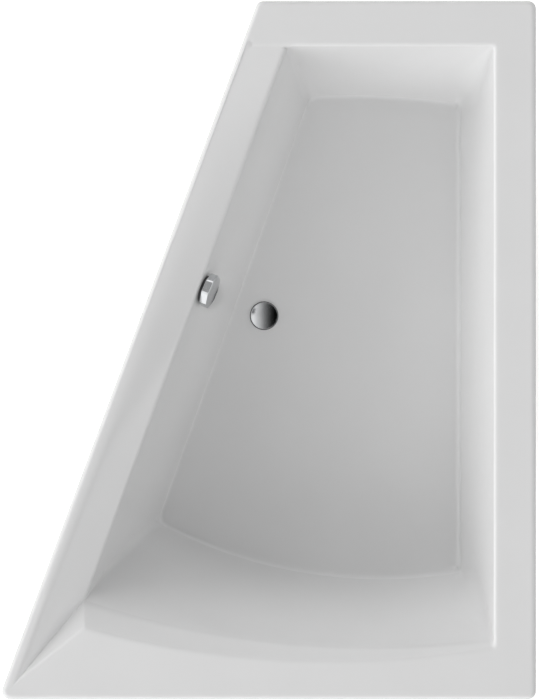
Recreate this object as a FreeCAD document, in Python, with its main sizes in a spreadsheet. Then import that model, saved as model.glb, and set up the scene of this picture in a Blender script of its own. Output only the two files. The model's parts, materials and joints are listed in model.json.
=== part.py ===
import FreeCAD, Part
import math
import os
import re
import Sketcher
from FreeCAD import Placement, Rotation, Vector

# Built-in acrylic bath of trapezoid outline with a turn-knob waste, in millimetres and degrees.
# X points to the straight side, Y to the narrow foot end, Z up. The feet stand on Z = 0.

doc = FreeCAD.newDocument("trapezoid_bath")

# Driving sizes
dimensions = [
    # bath shell, outer form
    ("bath_length", 1700),
    ("bath_width", 1300),
    ("floor_height", 160),
    ("basin_depth", 440),
    ("slant_angle", 20.4),
    ("outer_corner_radius", 20),
    ("rim_edge_radius", 6),
    ("skirt_depth", 40),
    ("acrylic", 5),
    ("backing", 4),
    # rim widths at the foot end, the straight side, the slanted side and the head end
    ("rim_foot", 109),
    ("rim_straight", 102),
    ("rim_slant_foot", 103),
    ("rim_slant_head", 112),
    ("rim_head_slant", 175),
    ("rim_head_straight", 126),
    ("head_arc_radius", 2250),
    # level strip outside the twisted rim, and the neck band at the head end
    ("strip_width", 25),
    ("tip_inset", 41),
    ("band_run_slant", 66),
    ("band_run_straight", 18),
    ("band_slope", 42),
    # basin floor, inset from the basin edge
    ("floor_inset_straight", 85),
    ("floor_inset_slant_foot", 95),
    ("floor_inset_slant_head", 102),
    ("floor_inset_foot_slant", 120),
    ("floor_inset_foot_straight", 138),
    ("floor_inset_head_slant", 187),
    ("floor_inset_head_straight", 180),
    ("floor_head_radius", 1150),
    ("floor_foot_radius", 1800),
    ("basin_radius", 22),
    ("backing_top_gap", 100),
    ("backing_opening_radius", 50),
    # waste and overflow places
    ("drain_from_overflow", 148.42),
    ("drain_past_overflow", 66),
    ("overflow_from_foot", 700),
    ("overflow_drop", 49),
    ("wall_hole_radius", 26),
    # base board and rails
    ("board_thickness", 16),
    ("board_margin", 30),
    ("board_hole_radius", 52),
    ("board_slot_width", 64),
    ("board_slot_length", 220),
    ("rail_width", 40),
    ("rail_depth", 30),
    ("rail_sheet", 3),
    ("rail_side_gap", 72),
    ("rail_slant_gap_foot", 88),
    ("rail_slant_gap_head", 98),
    ("rail_foot_inset", 420),
    ("rail_head_inset", 520),
    ("screw_radius", 2.5),
    ("screw_clearance", 0.1),
    ("screw_grip", 12),
    ("screw_head_radius", 5),
    ("screw_head_height", 3),
    ("screw_end_inset", 180),
    ("screw_slant_inset", 216),
    ("screw_count", 4),
    # legs
    ("leg_inset", 28),
    ("leg_radius", 6),
    ("leg_rise", 38),
    ("leg_hole_clearance", 0.3),
    ("leg_thread_clearance", 0.06),
    ("pad_bore_clearance", 0.02),
    ("nut_width", 19),
    ("nut_sides", 6),
    ("nut_height", 10),
    ("pad_radius", 32),
    ("pad_height", 24),
    ("pad_sole", 8),
    ("pad_edge", 5),
    ("pad_neck_radius", 14),
    ("pad_neck_height", 4),
    # waste flange, seals and cap
    ("flange_seal_height", 1.5),
    ("flange_seal_radius", 34),
    ("flange_radius", 35),
    ("flange_lip", 2.5),
    ("flange_edge", 0.6),
    ("flange_bore", 22),
    ("flange_tube_radius", 25.5),
    ("flange_tube_depth", 20),
    ("seat_radius", 27),
    ("seat_depth", 5),
    ("hub_radius", 7),
    ("hub_height", 6),
    ("hub_drop", 14),
    ("spoke_width", 4),
    ("spoke_count", 3),
    ("stem_radius", 4),
    ("running_clearance", 0.05),
    ("cap_radius", 33),
    ("cap_gap", 0.4),
    ("cap_edge", 1.6),
    ("cap_crown", 3.2),
    ("cap_shoulder_radius", 20),
    ("cap_shoulder_rise", 2.3),
    ("boss_radius", 18),
    ("boss_depth", 9),
    ("plug_seal_radius", 21.6),
    ("plug_seal_height", 3),
    ("plug_seal_rise", 1.5),
    ("stem_seat", 6),
    # waste body
    ("gasket_height", 3),
    ("gasket_radius", 41),
    ("body_flange_radius", 42),
    ("body_flange_height", 6),
    ("thread_clearance", 0.1),
    ("body_radius", 36),
    ("body_wall", 4),
    ("body_depth", 60),
    ("tail_radius", 20),
    ("tail_bore", 17),
    ("tail_length", 58),
    # lifting crank and push pin
    ("crank_turn", 98),
    ("crank_arm", 14),
    ("crank_below_floor", 23),
    ("crank_thickness", 5),
    ("crank_width", 8),
    ("crank_drop", 20),
    ("crank_reach", 3),
    ("crank_shaft_radius", 2.5),
    ("crank_bearing", 2),
    ("stem_gap", 0.3),
    ("pin_drop", 16),
    ("pin_radius", 3),
    ("pin_gap", 0.5),
    ("pin_length", 27),
    ("gland_radius", 6),
    ("gland_length", 25),
    ("gland_socket", 6),
    ("gland_overlap", 1),
    ("gland_mouth_radius", 2.5),
    ("cable_radius", 1.2),
    # trap and outlet
    ("pot_radius", 54),
    ("pot_wall", 3),
    ("pot_sump", 9),
    ("pot_grip", 6),
    ("collar_thickness", 4),
    ("collar_height", 6),
    ("trap_seal_height", 1.5),
    ("trap_nut_wall", 6),
    ("trap_nut_plate", 3.5),
    ("outlet_drop", 26),
    ("outlet_radius", 20),
    ("outlet_root_step", 0.5),
    ("outlet_bore", 17.5),
    ("outlet_socket_wall", 4.5),
    ("outlet_socket_reach", 84),
    ("outlet_socket_depth", 20),
    ("outlet_seal_height", 1.5),
    ("outlet_nut_wall", 6),
    ("outlet_nut_plate", 3),
    ("outlet_nut_length", 18),
    ("outlet_free_length", 80),
    # overflow pipe
    ("pipe_radius", 14),
    ("pipe_wall", 2),
    ("pipe_bend", 60),
    ("port_drop", 24),
    ("port_wall", 2.9),
    ("port_reach", 64),
    ("port_socket", 18),
    ("pipe_end_gap", 2),
    ("pipe_nut_wall", 3.4),
    ("pipe_nut_plate", 3),
    ("pipe_nut_length", 15),
    # overflow set
    ("overflow_gasket_height", 4),
    ("overflow_gasket_radius", 36),
    ("seat_face_radius", 40),
    ("elbow_flange_radius", 37),
    ("elbow_flange_height", 4),
    ("barrel_radius", 27),
    ("barrel_bore", 24),
    ("barrel_depth", 45),
    ("barrel_back", 4),
    ("elbow_reach", 32),
    ("elbow_drop", 62),
    ("bearing_radius", 8),
    ("bearing_height", 4),
    ("ring_radius", 33),
    ("ring_height", 7),
    ("water_hole_radius", 5),
    ("water_holes_per_side", 3),
    ("fixing_circle_radius", 20),
    ("fixing_radius", 2),
    ("fixing_head_radius", 4),
    ("fixing_head_height", 3),
    ("fixing_depth", 24),
    ("fixing_boss_radius", 4.5),
    ("fixing_boss_depth", 14),
    # knob, spindle and cable drum
    ("knob_width", 80),
    ("knob_front_width", 45),
    ("knob_gap", 0.8),
    ("knob_side", 10),
    ("knob_bevel", 9),
    ("knob_facets", 8),
    ("knob_rest_turn", 35),
    ("knob_socket", 12),
    ("spindle_radius", 5),
    ("journal_radius", 4),
    ("drum_gap", 3),
    ("drum_width", 10),
    ("drum_radius", 11),
    ("groove_radius", 4.8),
    ("groove_width", 3),
    ("cover_radius", 16),
    ("cover_wall", 2),
    ("cover_height", 17),
    ("cover_gland_start", 13),
]

# Sizes and levels that follow from the driving sizes
derived = [
    (
        "left_corner",
        "-bath_width / 2 - outer_corner_radius * (1 / tan((90 - slant_angle) / 2) - 1)",
    ),
    ("floor_top", "floor_height"),
    ("rim_height", "floor_top + basin_depth"),
    ("floor_under", "floor_top - acrylic"),
    ("backing_under", "floor_under - backing"),
    ("board_under", "backing_under - board_thickness"),
    ("rail_under", "board_under - rail_depth"),
    ("web_under", "board_under - rail_sheet"),
    ("leg_top", "board_under + leg_rise"),
    ("flange_under", "floor_top + flange_seal_height"),
    ("flange_top", "flange_under + flange_lip"),
    ("flange_bottom", "flange_under - flange_tube_depth"),
    ("hub_top", "flange_under - hub_drop + hub_height"),
    ("cap_under", "flange_top + cap_gap"),
    ("cap_top", "cap_under + cap_edge + cap_crown"),
    ("boss_bottom", "cap_under - boss_depth"),
    ("stem_top", "boss_bottom + stem_seat"),
    ("plug_seal_bottom", "boss_bottom + plug_seal_rise"),
    ("crank_height", "floor_under - crank_below_floor"),
    ("crank_top", "crank_height + crank_thickness / 2"),
    ("stem_bottom", "crank_top + stem_gap"),
    ("pin_height", "crank_height - pin_drop"),
    ("pin_tip", "crank_arm + crank_thickness / 2 + pin_gap"),
    ("gland_start", "body_radius - body_wall - gland_overlap"),
    ("body_top", "floor_under - gasket_height"),
    ("body_bottom", "body_top - body_depth"),
    ("body_bore", "body_radius - body_wall"),
    ("body_collar", "flange_tube_radius + thread_clearance"),
    ("tail_bottom", "body_bottom - tail_length"),
    ("port_height", "body_top - port_drop"),
    ("pot_bottom", "tail_bottom - pot_sump"),
    ("pot_top", "body_bottom + pot_grip"),
    ("outlet_height", "pot_top - outlet_drop"),
    ("collar_bore", "body_radius + thread_clearance"),
    ("collar_radius", "collar_bore + collar_thickness"),
    ("collar_top", "pot_top + collar_height"),
    ("trap_nut_bore", "collar_radius + thread_clearance"),
    ("trap_nut_radius", "trap_nut_bore + trap_nut_wall"),
    ("trap_nut_top", "collar_top + trap_seal_height + trap_nut_plate"),
    ("outlet_root", "outlet_radius - outlet_root_step"),
    ("outlet_socket_bore", "outlet_root + thread_clearance"),
    ("outlet_socket_radius", "outlet_socket_bore + outlet_socket_wall"),
    ("outlet_nut_bore", "outlet_socket_radius + thread_clearance"),
    ("outlet_nut_radius", "outlet_nut_bore + outlet_nut_wall"),
    ("outlet_nut_end", "outlet_socket_reach + outlet_seal_height + outlet_nut_plate"),
    ("port_bore", "pipe_radius + thread_clearance"),
    ("port_radius", "port_bore + port_wall"),
    ("pipe_bore", "pipe_radius - pipe_wall"),
    ("pipe_nut_bore", "port_radius + thread_clearance"),
    ("pipe_nut_radius", "pipe_nut_bore + pipe_nut_wall"),
    ("elbow_front", "-acrylic - overflow_gasket_height"),
    ("barrel_end", "elbow_front - barrel_depth"),
    ("elbow_back", "barrel_end - barrel_back"),
    ("bearing_front", "barrel_end + bearing_height"),
    ("drum_front", "elbow_back - drum_gap"),
    ("drum_end", "drum_front - drum_width"),
    ("groove_middle", "drum_front - drum_width / 2"),
    ("knob_back", "ring_height + knob_gap"),
    ("knob_shoulder", "knob_back + knob_side"),
    ("knob_front", "knob_shoulder + knob_bevel"),
]

sheet_of = {}
dims = doc.addObject("Spreadsheet::Sheet", "Dims")
for row, (alias, number) in enumerate(dimensions, start=1):
    dims.set(f"A{row}", alias)
    dims.set(f"B{row}", str(number))
    dims.setAlias(f"B{row}", alias)
    sheet_of[alias] = dims
doc.recompute()


def bind(text):
    """Formula text with each size's name written as its cell in the sheets."""
    def cell(found):
        word = found.group()
        return f"{sheet_of[word].Name}.{word}" if word in sheet_of else word

    return re.sub(r"[a-z_]+", cell, text)


levels = doc.addObject("Spreadsheet::Sheet", "Levels")
for row, (alias, formula) in enumerate(derived, start=1):
    levels.set(f"A{row}", alias)
    levels.set(f"B{row}", "=" + bind(formula))
    levels.setAlias(f"B{row}", alias)
    sheet_of[alias] = levels
doc.recompute()


def size(alias):
    return float(sheet_of[alias].get(alias))


def place(item, frame):
    item.Placement = frame
    return item


def outline(body, plane, points, rise=None):
    """Closed sketch through points whose two coordinates are formulas of the sheets."""
    sketch = body.newObject("Sketcher::SketchObject", body.Name + "_outline")
    support = [item for item in body.Origin.OriginFeatures if item.Role == plane]
    sketch.AttachmentSupport = [(support[0], "")]
    sketch.MapMode = "FlatFace"
    if rise:
        sketch.setExpression("AttachmentOffset.Base.z", bind(rise))
    count = len(points)
    spread = [
        Vector(2 + math.cos(math.tau * step / count), 2 + math.sin(math.tau * step / count), 0)
        for step in range(count)
    ]
    for step in range(count):
        sketch.addGeometry(Part.LineSegment(spread[step], spread[(step + 1) % count]))
    for step in range(count):
        sketch.addConstraint(Sketcher.Constraint("Coincident", step, 2, (step + 1) % count, 1))
    for step, formulas in enumerate(points):
        for kind, formula, start in zip(("DistanceX", "DistanceY"), formulas, spread[step]):
            number = sketch.addConstraint(Sketcher.Constraint(kind, -1, 1, step, 1, start))
            sketch.setExpression(f"Constraints[{number}]", bind(formula))
    return sketch


def turned(label, profile, frame):
    """Body of revolution about its own Z axis from radius and height formulas."""
    body = doc.addObject("PartDesign::Body", label)
    sketch = outline(body, "XZ_Plane", profile)
    turn = body.newObject("PartDesign::Revolution", label + "_turn")
    turn.Profile = sketch
    turn.ReferenceAxis = (sketch, ["V_Axis"])
    return place(body, frame)


def ring(label, inner, outer, bottom, top, frame):
    profile = [(inner, bottom), (outer, bottom), (outer, top), (inner, top)]
    return turned(label, profile, frame)


def padded(label, plane, points, length, frame, both_ways=False):
    body = doc.addObject("PartDesign::Body", label)
    pad = body.newObject("PartDesign::Pad", label + "_pad")
    pad.Profile = outline(body, plane, points)
    pad.setExpression("Length", bind(length))
    if both_ways:
        pad.SideType = "Symmetric"
    return place(body, frame)


def cylinder(name, radius, length, frame):
    item = doc.addObject("Part::Cylinder", name)
    item.setExpression("Radius", bind(radius))
    item.setExpression("Height", bind(length))
    return place(item, frame)


def box(name, along, across, up, frame):
    item = doc.addObject("Part::Box", name)
    item.setExpression("Length", bind(along))
    item.setExpression("Width", bind(across))
    item.setExpression("Height", bind(up))
    return place(item, frame)


def fused(label, items):
    item = doc.addObject("Part::MultiFuse", label)
    item.Shapes = items
    return item


def cut(label, base, tools):
    """Base with each tool cut from it in turn."""
    for number, tool in enumerate(tools, start=1):
        item = doc.addObject("Part::Cut", label if number == len(tools) else f"{label}_{number}")
        item.Base = base
        item.Tool = tool
        base = item
    return base


def group(label, items):
    item = doc.addObject("Part::Compound", label)
    item.Links = items
    return item


def shaped(label, shape):
    item = doc.addObject("Part::Feature", label)
    item.Shape = shape
    return item


def toward(start, direction):
    """Frame at a start point whose Z axis points along a direction."""
    return Placement(start, Rotation(Vector(0, 0, 1), direction))


def line(start, end):
    return Part.LineSegment(start, end).toShape()


def bowed(start, end, radius, side):
    """Arc between two points, bowed in plan to the side whose sign of Y is given."""
    chord = end - start
    normal = Vector(-chord.y, chord.x, 0).normalize()
    if normal.y * side < 0:
        normal = normal * -1
    sag = radius - math.sqrt(radius**2 - (chord.Length / 2) ** 2)
    return Part.Arc(start, (start + end) * 0.5 + normal * sag, end).toShape()


def patch(edges):
    return Part.Face(Part.Wire(Part.__sortEdges__(edges)))


def closed(faces):
    """Solid whose skin is the given faces."""
    skin = Part.makeShell(faces)
    skin.sewShape()
    return Part.Solid(Part.Shell(Part.makeSolid(skin).Faces))


same_level = 0.01
nearly_upright = 0.99
same_corner = 1


def is_level(face, height):
    flat = face.Surface.TypeId == "Part::GeomPlane"
    at_height = abs(face.CenterOfMass.z - height) < same_level
    return flat and at_height and abs(face.Surface.Axis.z) > nearly_upright


def lid(form, height):
    return [face for face in form.Faces if is_level(face, height)][0]


def sides(form, height):
    return [face for face in form.Faces if not is_level(face, height)]


def lined(outer, inner, height):
    """Solid between two nested forms that are both open at one height."""
    border = lid(outer, height).cut(lid(inner, height)).Faces
    return closed(sides(outer, height) + sides(inner, height) + border)


def rounded_route(points, radius):
    """Straight runs between points with a tangent arc at each corner."""
    edges = []
    start = points[0]
    for before, corner, after in zip(points, points[1:], points[2:]):
        back = (before - corner).normalize()
        ahead = (after - corner).normalize()
        half = back.getAngle(ahead) / 2
        enter = corner + back * (radius / math.tan(half))
        leave = corner + ahead * (radius / math.tan(half))
        inward = (back + ahead).normalize()
        middle = corner + inward * (radius / math.sin(half) - radius)
        edges.append(line(start, enter))
        edges.append(Part.Arc(enter, middle, leave).toShape())
        start = leave
    edges.append(line(start, points[-1]))
    return Part.Wire(edges)


def swept(points, bend, radius):
    route = rounded_route(points, bend)
    section = Part.Wire(Part.makeCircle(radius, points[0], points[1] - points[0]))
    return route.makePipeShell([section], True, True)


# Basin form

def slant_across(along, inset):
    """Place across the bath of a line set in from the slanted side."""
    angle = math.radians(size("slant_angle"))
    run = (along + size("bath_length") / 2) * math.tan(angle)
    return size("left_corner") + run + inset / math.cos(angle)


def basin_corners(grow):
    """Corners of the basin, each face of which is moved outward by grow."""
    slope = math.atan(size("floor_inset_slant_foot") / size("basin_depth"))
    side = grow * (1 - math.sin(slope)) / math.cos(slope)
    angle = math.radians(size("slant_angle"))
    rise = math.tan(math.radians(size("band_slope")))
    top = size("rim_height") - grow
    bottom = size("floor_top") - grow
    foot = size("bath_length") / 2 - size("rim_foot") + side
    straight = size("bath_width") / 2 - size("rim_straight") + side
    head_edge = -size("bath_length") / 2 - side
    strip = size("strip_width") - side
    tip = head_edge + size("tip_inset")
    high = head_edge + size("rim_head_slant")
    low = high + size("band_run_slant")
    head_straight = head_edge + size("rim_head_straight")
    dip_slant = size("band_run_slant") * rise
    dip_straight = size("band_run_straight") * rise
    draft = size("floor_inset_straight") / size("basin_depth")
    low_across = slant_across(low, size("rim_slant_head") - side)
    corners = {
        "strip_foot": Vector(slant_across(foot, strip), foot, top),
        "strip_tip": Vector(slant_across(tip, strip), tip, top),
        "edge_foot_slant": Vector(slant_across(foot, size("rim_slant_foot") - side), foot, top),
        "edge_foot_straight": Vector(straight, foot, top),
        "edge_head_straight": Vector(straight, head_straight, top),
        "edge_head_slant": Vector(low_across, high, top),
        "dip_slant": Vector(low_across, low, top - dip_slant),
        "dip_straight": Vector(
            straight - dip_straight * draft,
            head_straight + size("band_run_straight"),
            top - dip_straight,
        ),
    }
    start = corners["edge_foot_slant"]
    end = corners["dip_slant"]

    def edge_across(along):
        return start.x + (end.x - start.x) * (along - start.y) / (end.y - start.y)

    floor_straight = straight - size("floor_inset_straight")
    foot_slant = foot - size("floor_inset_foot_slant")
    head_slant = low + size("floor_inset_head_slant")
    corners["floor_foot_slant"] = Vector(
        edge_across(foot_slant) + size("floor_inset_slant_foot") / math.cos(angle),
        foot_slant,
        bottom,
    )
    corners["floor_head_slant"] = Vector(
        edge_across(head_slant) + size("floor_inset_slant_head") / math.cos(angle),
        head_slant,
        bottom,
    )
    corners["floor_foot_straight"] = Vector(
        floor_straight, foot - size("floor_inset_foot_straight"), bottom
    )
    corners["floor_head_straight"] = Vector(
        floor_straight, head_straight + size("floor_inset_head_straight"), bottom
    )
    return corners


def slanted_wall(corners):
    upper = line(corners["edge_foot_slant"], corners["dip_slant"])
    lower = line(corners["floor_foot_slant"], corners["floor_head_slant"])
    return Part.makeRuledSurface(upper, lower)


def basin_form(grow):
    """Solid that fills the basin up to the rim, with rounded floor edges and corners."""
    at = basin_corners(grow)

    def edge(start, end):
        return line(at[start], at[end])

    head_radius = size("head_arc_radius")
    rim_arc = bowed(at["edge_head_slant"], at["edge_head_straight"], head_radius, -1)
    dip_arc = bowed(at["dip_slant"], at["dip_straight"], head_radius, -1)
    floor_head = bowed(
        at["floor_head_slant"], at["floor_head_straight"], size("floor_head_radius"), -1
    )
    floor_foot = bowed(
        at["floor_foot_slant"], at["floor_foot_straight"], size("floor_foot_radius"), 1
    )
    foot_edge = edge("edge_foot_slant", "edge_foot_straight")
    straight_edge = edge("edge_foot_straight", "edge_head_straight")
    strip_edge = edge("strip_foot", "strip_tip")
    slant_edge = edge("edge_foot_slant", "dip_slant")
    facet_edge = edge("strip_tip", "edge_head_slant")
    band_end = edge("edge_head_straight", "dip_straight")
    straight_floor = edge("floor_foot_straight", "floor_head_straight")
    faces = [
        patch(
            [edge("strip_foot", "edge_foot_slant"), foot_edge, straight_edge, rim_arc]
            + [facet_edge, strip_edge]
        ),
        Part.makeRuledSurface(strip_edge, slant_edge),
        patch([facet_edge, edge("edge_head_slant", "dip_slant"), edge("dip_slant", "strip_tip")]),
        Part.makeRuledSurface(rim_arc, dip_arc),
        patch(
            [straight_edge, band_end, edge("dip_straight", "floor_head_straight")]
            + [straight_floor, edge("floor_foot_straight", "edge_foot_straight")]
        ),
        Part.makeRuledSurface(dip_arc, floor_head),
        slanted_wall(at),
        Part.makeRuledSurface(foot_edge, floor_foot),
        patch(
            [floor_foot, straight_floor, floor_head, edge("floor_head_slant", "floor_foot_slant")]
        ),
    ]
    form = closed(faces)
    rounded_ends = [
        ("floor_foot_slant", "floor_foot_straight"),
        ("floor_foot_straight", "floor_head_straight"),
        ("floor_head_straight", "floor_head_slant"),
        ("floor_head_slant", "floor_foot_slant"),
        ("edge_foot_slant", "floor_foot_slant"),
        ("edge_foot_straight", "floor_foot_straight"),
        ("dip_straight", "floor_head_straight"),
        ("dip_slant", "floor_head_slant"),
    ]

    def joins(candidate, names):
        ends = [vertex.Point for vertex in candidate.Vertexes]
        return all(min(at[name].distanceToPoint(end) for end in ends) < same_corner for name in names)

    edges = [item for item in form.Edges for names in rounded_ends if joins(item, names)]
    return form.makeFillet(size("basin_radius") + grow, edges)


# Frames of the waste and of the overflow

wall = slanted_wall(basin_corners(0))
edge_start = basin_corners(0)["edge_foot_slant"]
edge_end = basin_corners(0)["dip_slant"]
probe_along = size("bath_length") / 2 - size("overflow_from_foot")
edge_share = (edge_start.y - probe_along) / (edge_start.y - edge_end.y)
edge_height = edge_start.z + (edge_end.z - edge_start.z) * edge_share
probe_height = edge_height - size("overflow_drop")
probe = line(
    Vector(-size("bath_width"), probe_along, probe_height),
    Vector(size("bath_width"), probe_along, probe_height),
)
overflow_centre = wall.distToShape(probe)[1][0][0]
inward = wall.normalAt(*wall.Surface.parameter(overflow_centre))
if inward.z < 0:
    inward = inward * -1
level = Vector(0, 0, 1).cross(inward).normalize()
overflow_frame = Placement(
    overflow_centre, Rotation(level, inward.cross(level), inward, "ZXY")
)
elbow_centre = overflow_centre - inward * size("elbow_reach")
drain_centre = Vector(
    overflow_centre.x + size("drain_from_overflow"),
    overflow_centre.y - size("drain_past_overflow"),
    0,
)
port_way = Vector(elbow_centre.x - drain_centre.x, elbow_centre.y - drain_centre.y, 0)
port_angle = math.degrees(math.atan2(port_way.y, port_way.x))
port_way.normalize()
upright = Rotation()
drain_frame = Placement(drain_centre, Rotation(Vector(0, 0, 1), port_angle))
crank_frame = Placement(
    drain_centre, Rotation(Vector(0, 0, 1), port_angle + size("crank_turn"))
)
home = Placement()


def drain_axis(along, across, up, direction):
    return drain_frame.multiply(toward(Vector(along, across, up), direction))


def overflow_axis(along, across, depth, direction=Vector(0, 0, 1)):
    return overflow_frame.multiply(toward(Vector(along, across, depth), direction))


# Bath shell

def rim_outline(inset):
    foot_run = f"(bath_length - {inset}) * tan(slant_angle)"
    return [
        (
            f"left_corner + {inset} * tan(slant_angle) + {inset} / cos(slant_angle)",
            f"-bath_length / 2 + {inset}",
        ),
        (f"bath_width / 2 - {inset}", f"-bath_length / 2 + {inset}"),
        (f"bath_width / 2 - {inset}", f"bath_length / 2 - {inset}"),
        (
            f"left_corner + {foot_run} + {inset} / cos(slant_angle)",
            f"bath_length / 2 - {inset}",
        ),
    ]


def rounded_block(label, inset, height, corner_radius, frame):
    body = padded(label, "XY_Plane", rim_outline(inset), height, frame)
    doc.recompute()
    pad = body.Tip
    upright_edges = [
        f"Edge{number}"
        for number, item in enumerate(pad.Shape.Edges, start=1)
        if abs(item.Vertexes[0].Z - item.Vertexes[1].Z) > size("acrylic")
    ]
    corners = body.newObject("PartDesign::Fillet", label + "_corners")
    corners.Base = (pad, upright_edges)
    corners.setExpression("Radius", bind(corner_radius))
    doc.recompute()
    return body


skirt_bottom = Placement(Vector(0, 0, size("rim_height") - size("skirt_depth")), upright)
rim_block = rounded_block("rim_block", "0", "skirt_depth", "outer_corner_radius", skirt_bottom)
corner_feature = rim_block.Tip
top_edges = [
    f"Edge{number}"
    for number, item in enumerate(corner_feature.Shape.Edges, start=1)
    if min(vertex.Z for vertex in item.Vertexes) > size("skirt_depth") / 2
]
edge_feature = rim_block.newObject("PartDesign::Fillet", "rim_block_edge")
edge_feature.Base = (corner_feature, top_edges)
edge_feature.setExpression("Radius", bind("rim_edge_radius"))
rim_hollow = rounded_block(
    "rim_hollow",
    "acrylic",
    "skirt_depth - acrylic",
    "outer_corner_radius - acrylic",
    skirt_bottom,
)
rim_tray = cut("rim_tray", rim_block, [rim_hollow])
doc.recompute()
rim_top = size("rim_height")
rim_under = rim_top - size("acrylic")
tray_shape = rim_tray.Shape
inner_form = basin_form(0)
outer_form = basin_form(size("acrylic"))
shell_blank = shaped(
    "shell_blank",
    closed(
        [face for face in sides(tray_shape, rim_top) if not is_level(face, rim_under)]
        + sides(inner_form, rim_top)
        + sides(outer_form, rim_under)
        + lid(tray_shape, rim_top).cut(lid(inner_form, rim_top)).Faces
        + lid(tray_shape, rim_under).cut(lid(outer_form, rim_under)).Faces
    ),
)
drain_hole = cylinder(
    "drain_hole", "wall_hole_radius", "basin_depth", Placement(drain_centre, upright)
)
overflow_hole = cylinder(
    "overflow_hole",
    "wall_hole_radius",
    "2 * seat_face_radius",
    overflow_axis(0, 0, -size("seat_face_radius")),
)
outer_seat = cylinder(
    "outer_seat",
    "seat_face_radius",
    "acrylic",
    overflow_axis(0, 0, -2 * size("acrylic")),
)
inner_seat = cylinder("inner_seat", "seat_face_radius", "acrylic", overflow_axis(0, 0, 0))
acrylic_shell = cut(
    "acrylic_shell",
    shell_blank,
    [drain_hole, overflow_hole, outer_seat, inner_seat],
)

backing_top = size("rim_height") - size("backing_top_gap")
below_rim = Part.makeBox(
    2 * size("bath_width"),
    2 * size("bath_length"),
    backing_top,
    Vector(-size("bath_width"), -size("bath_length"), 0),
)
backing_blank = shaped(
    "backing_blank",
    lined(
        basin_form(size("acrylic") + size("backing")).common(below_rim),
        outer_form.common(below_rim),
        backing_top,
    ),
)
drain_opening = cylinder(
    "drain_opening",
    "backing_opening_radius",
    "basin_depth",
    Placement(drain_centre, upright),
)
overflow_opening = cylinder(
    "overflow_opening",
    "backing_opening_radius",
    "backing_opening_radius * 2",
    overflow_axis(0, 0, -size("backing_opening_radius")),
)
fibreglass_backing = cut(
    "fibreglass_backing",
    backing_blank,
    [drain_opening, overflow_opening],
)

# Base board, rails and screws

board_slope = "(rim_slant_head + floor_inset_slant_head + board_margin) / cos(slant_angle)"
board_foot = "bath_length / 2 - rim_foot - floor_inset_foot_straight - board_margin"
board_side = "bath_width / 2 - rim_straight - floor_inset_straight - board_margin"
board_head_straight = (
    "-bath_length / 2 + rim_head_straight + floor_inset_head_straight + board_margin"
)
board_head_slant = (
    "-bath_length / 2 + rim_head_slant + band_run_slant + floor_inset_head_slant + board_margin"
)


def board_left(along):
    return f"left_corner + ({along} + bath_length / 2) * tan(slant_angle) + {board_slope}"


board_blank = padded(
    "board_blank",
    "XY_Plane",
    [
        (board_left(board_head_slant), board_head_slant),
        (board_side, board_head_straight),
        (board_side, board_foot),
        (board_left(board_foot), board_foot),
    ],
    "board_thickness",
    Placement(Vector(0, 0, size("board_under")), upright),
)
rail_places = {
    "foot": size("bath_length") / 2 - size("rail_foot_inset"),
    "head": size("rail_head_inset") - size("bath_length") / 2,
}
rail_end = size("bath_width") / 2 - size("rail_side_gap")
rail_starts = {
    end: slant_across(along, size(f"rail_slant_gap_{end}")) for end, along in rail_places.items()
}


def screw_places(end):
    """Evenly spaced from the straight side to the slanted side."""
    first = rail_end - size("screw_end_inset")
    last = rail_starts[end] + size("screw_slant_inset")
    gaps = int(size("screw_count")) - 1
    return [
        Vector(first + (last - first) * step / gaps, rail_places[end], 0)
        for step in range(gaps + 1)
    ]


def leg_places(end):
    inset = size("leg_inset")
    return [
        Vector(rail_starts[end] + inset, rail_places[end], 0),
        Vector(rail_end - inset, rail_places[end], 0),
    ]


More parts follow.
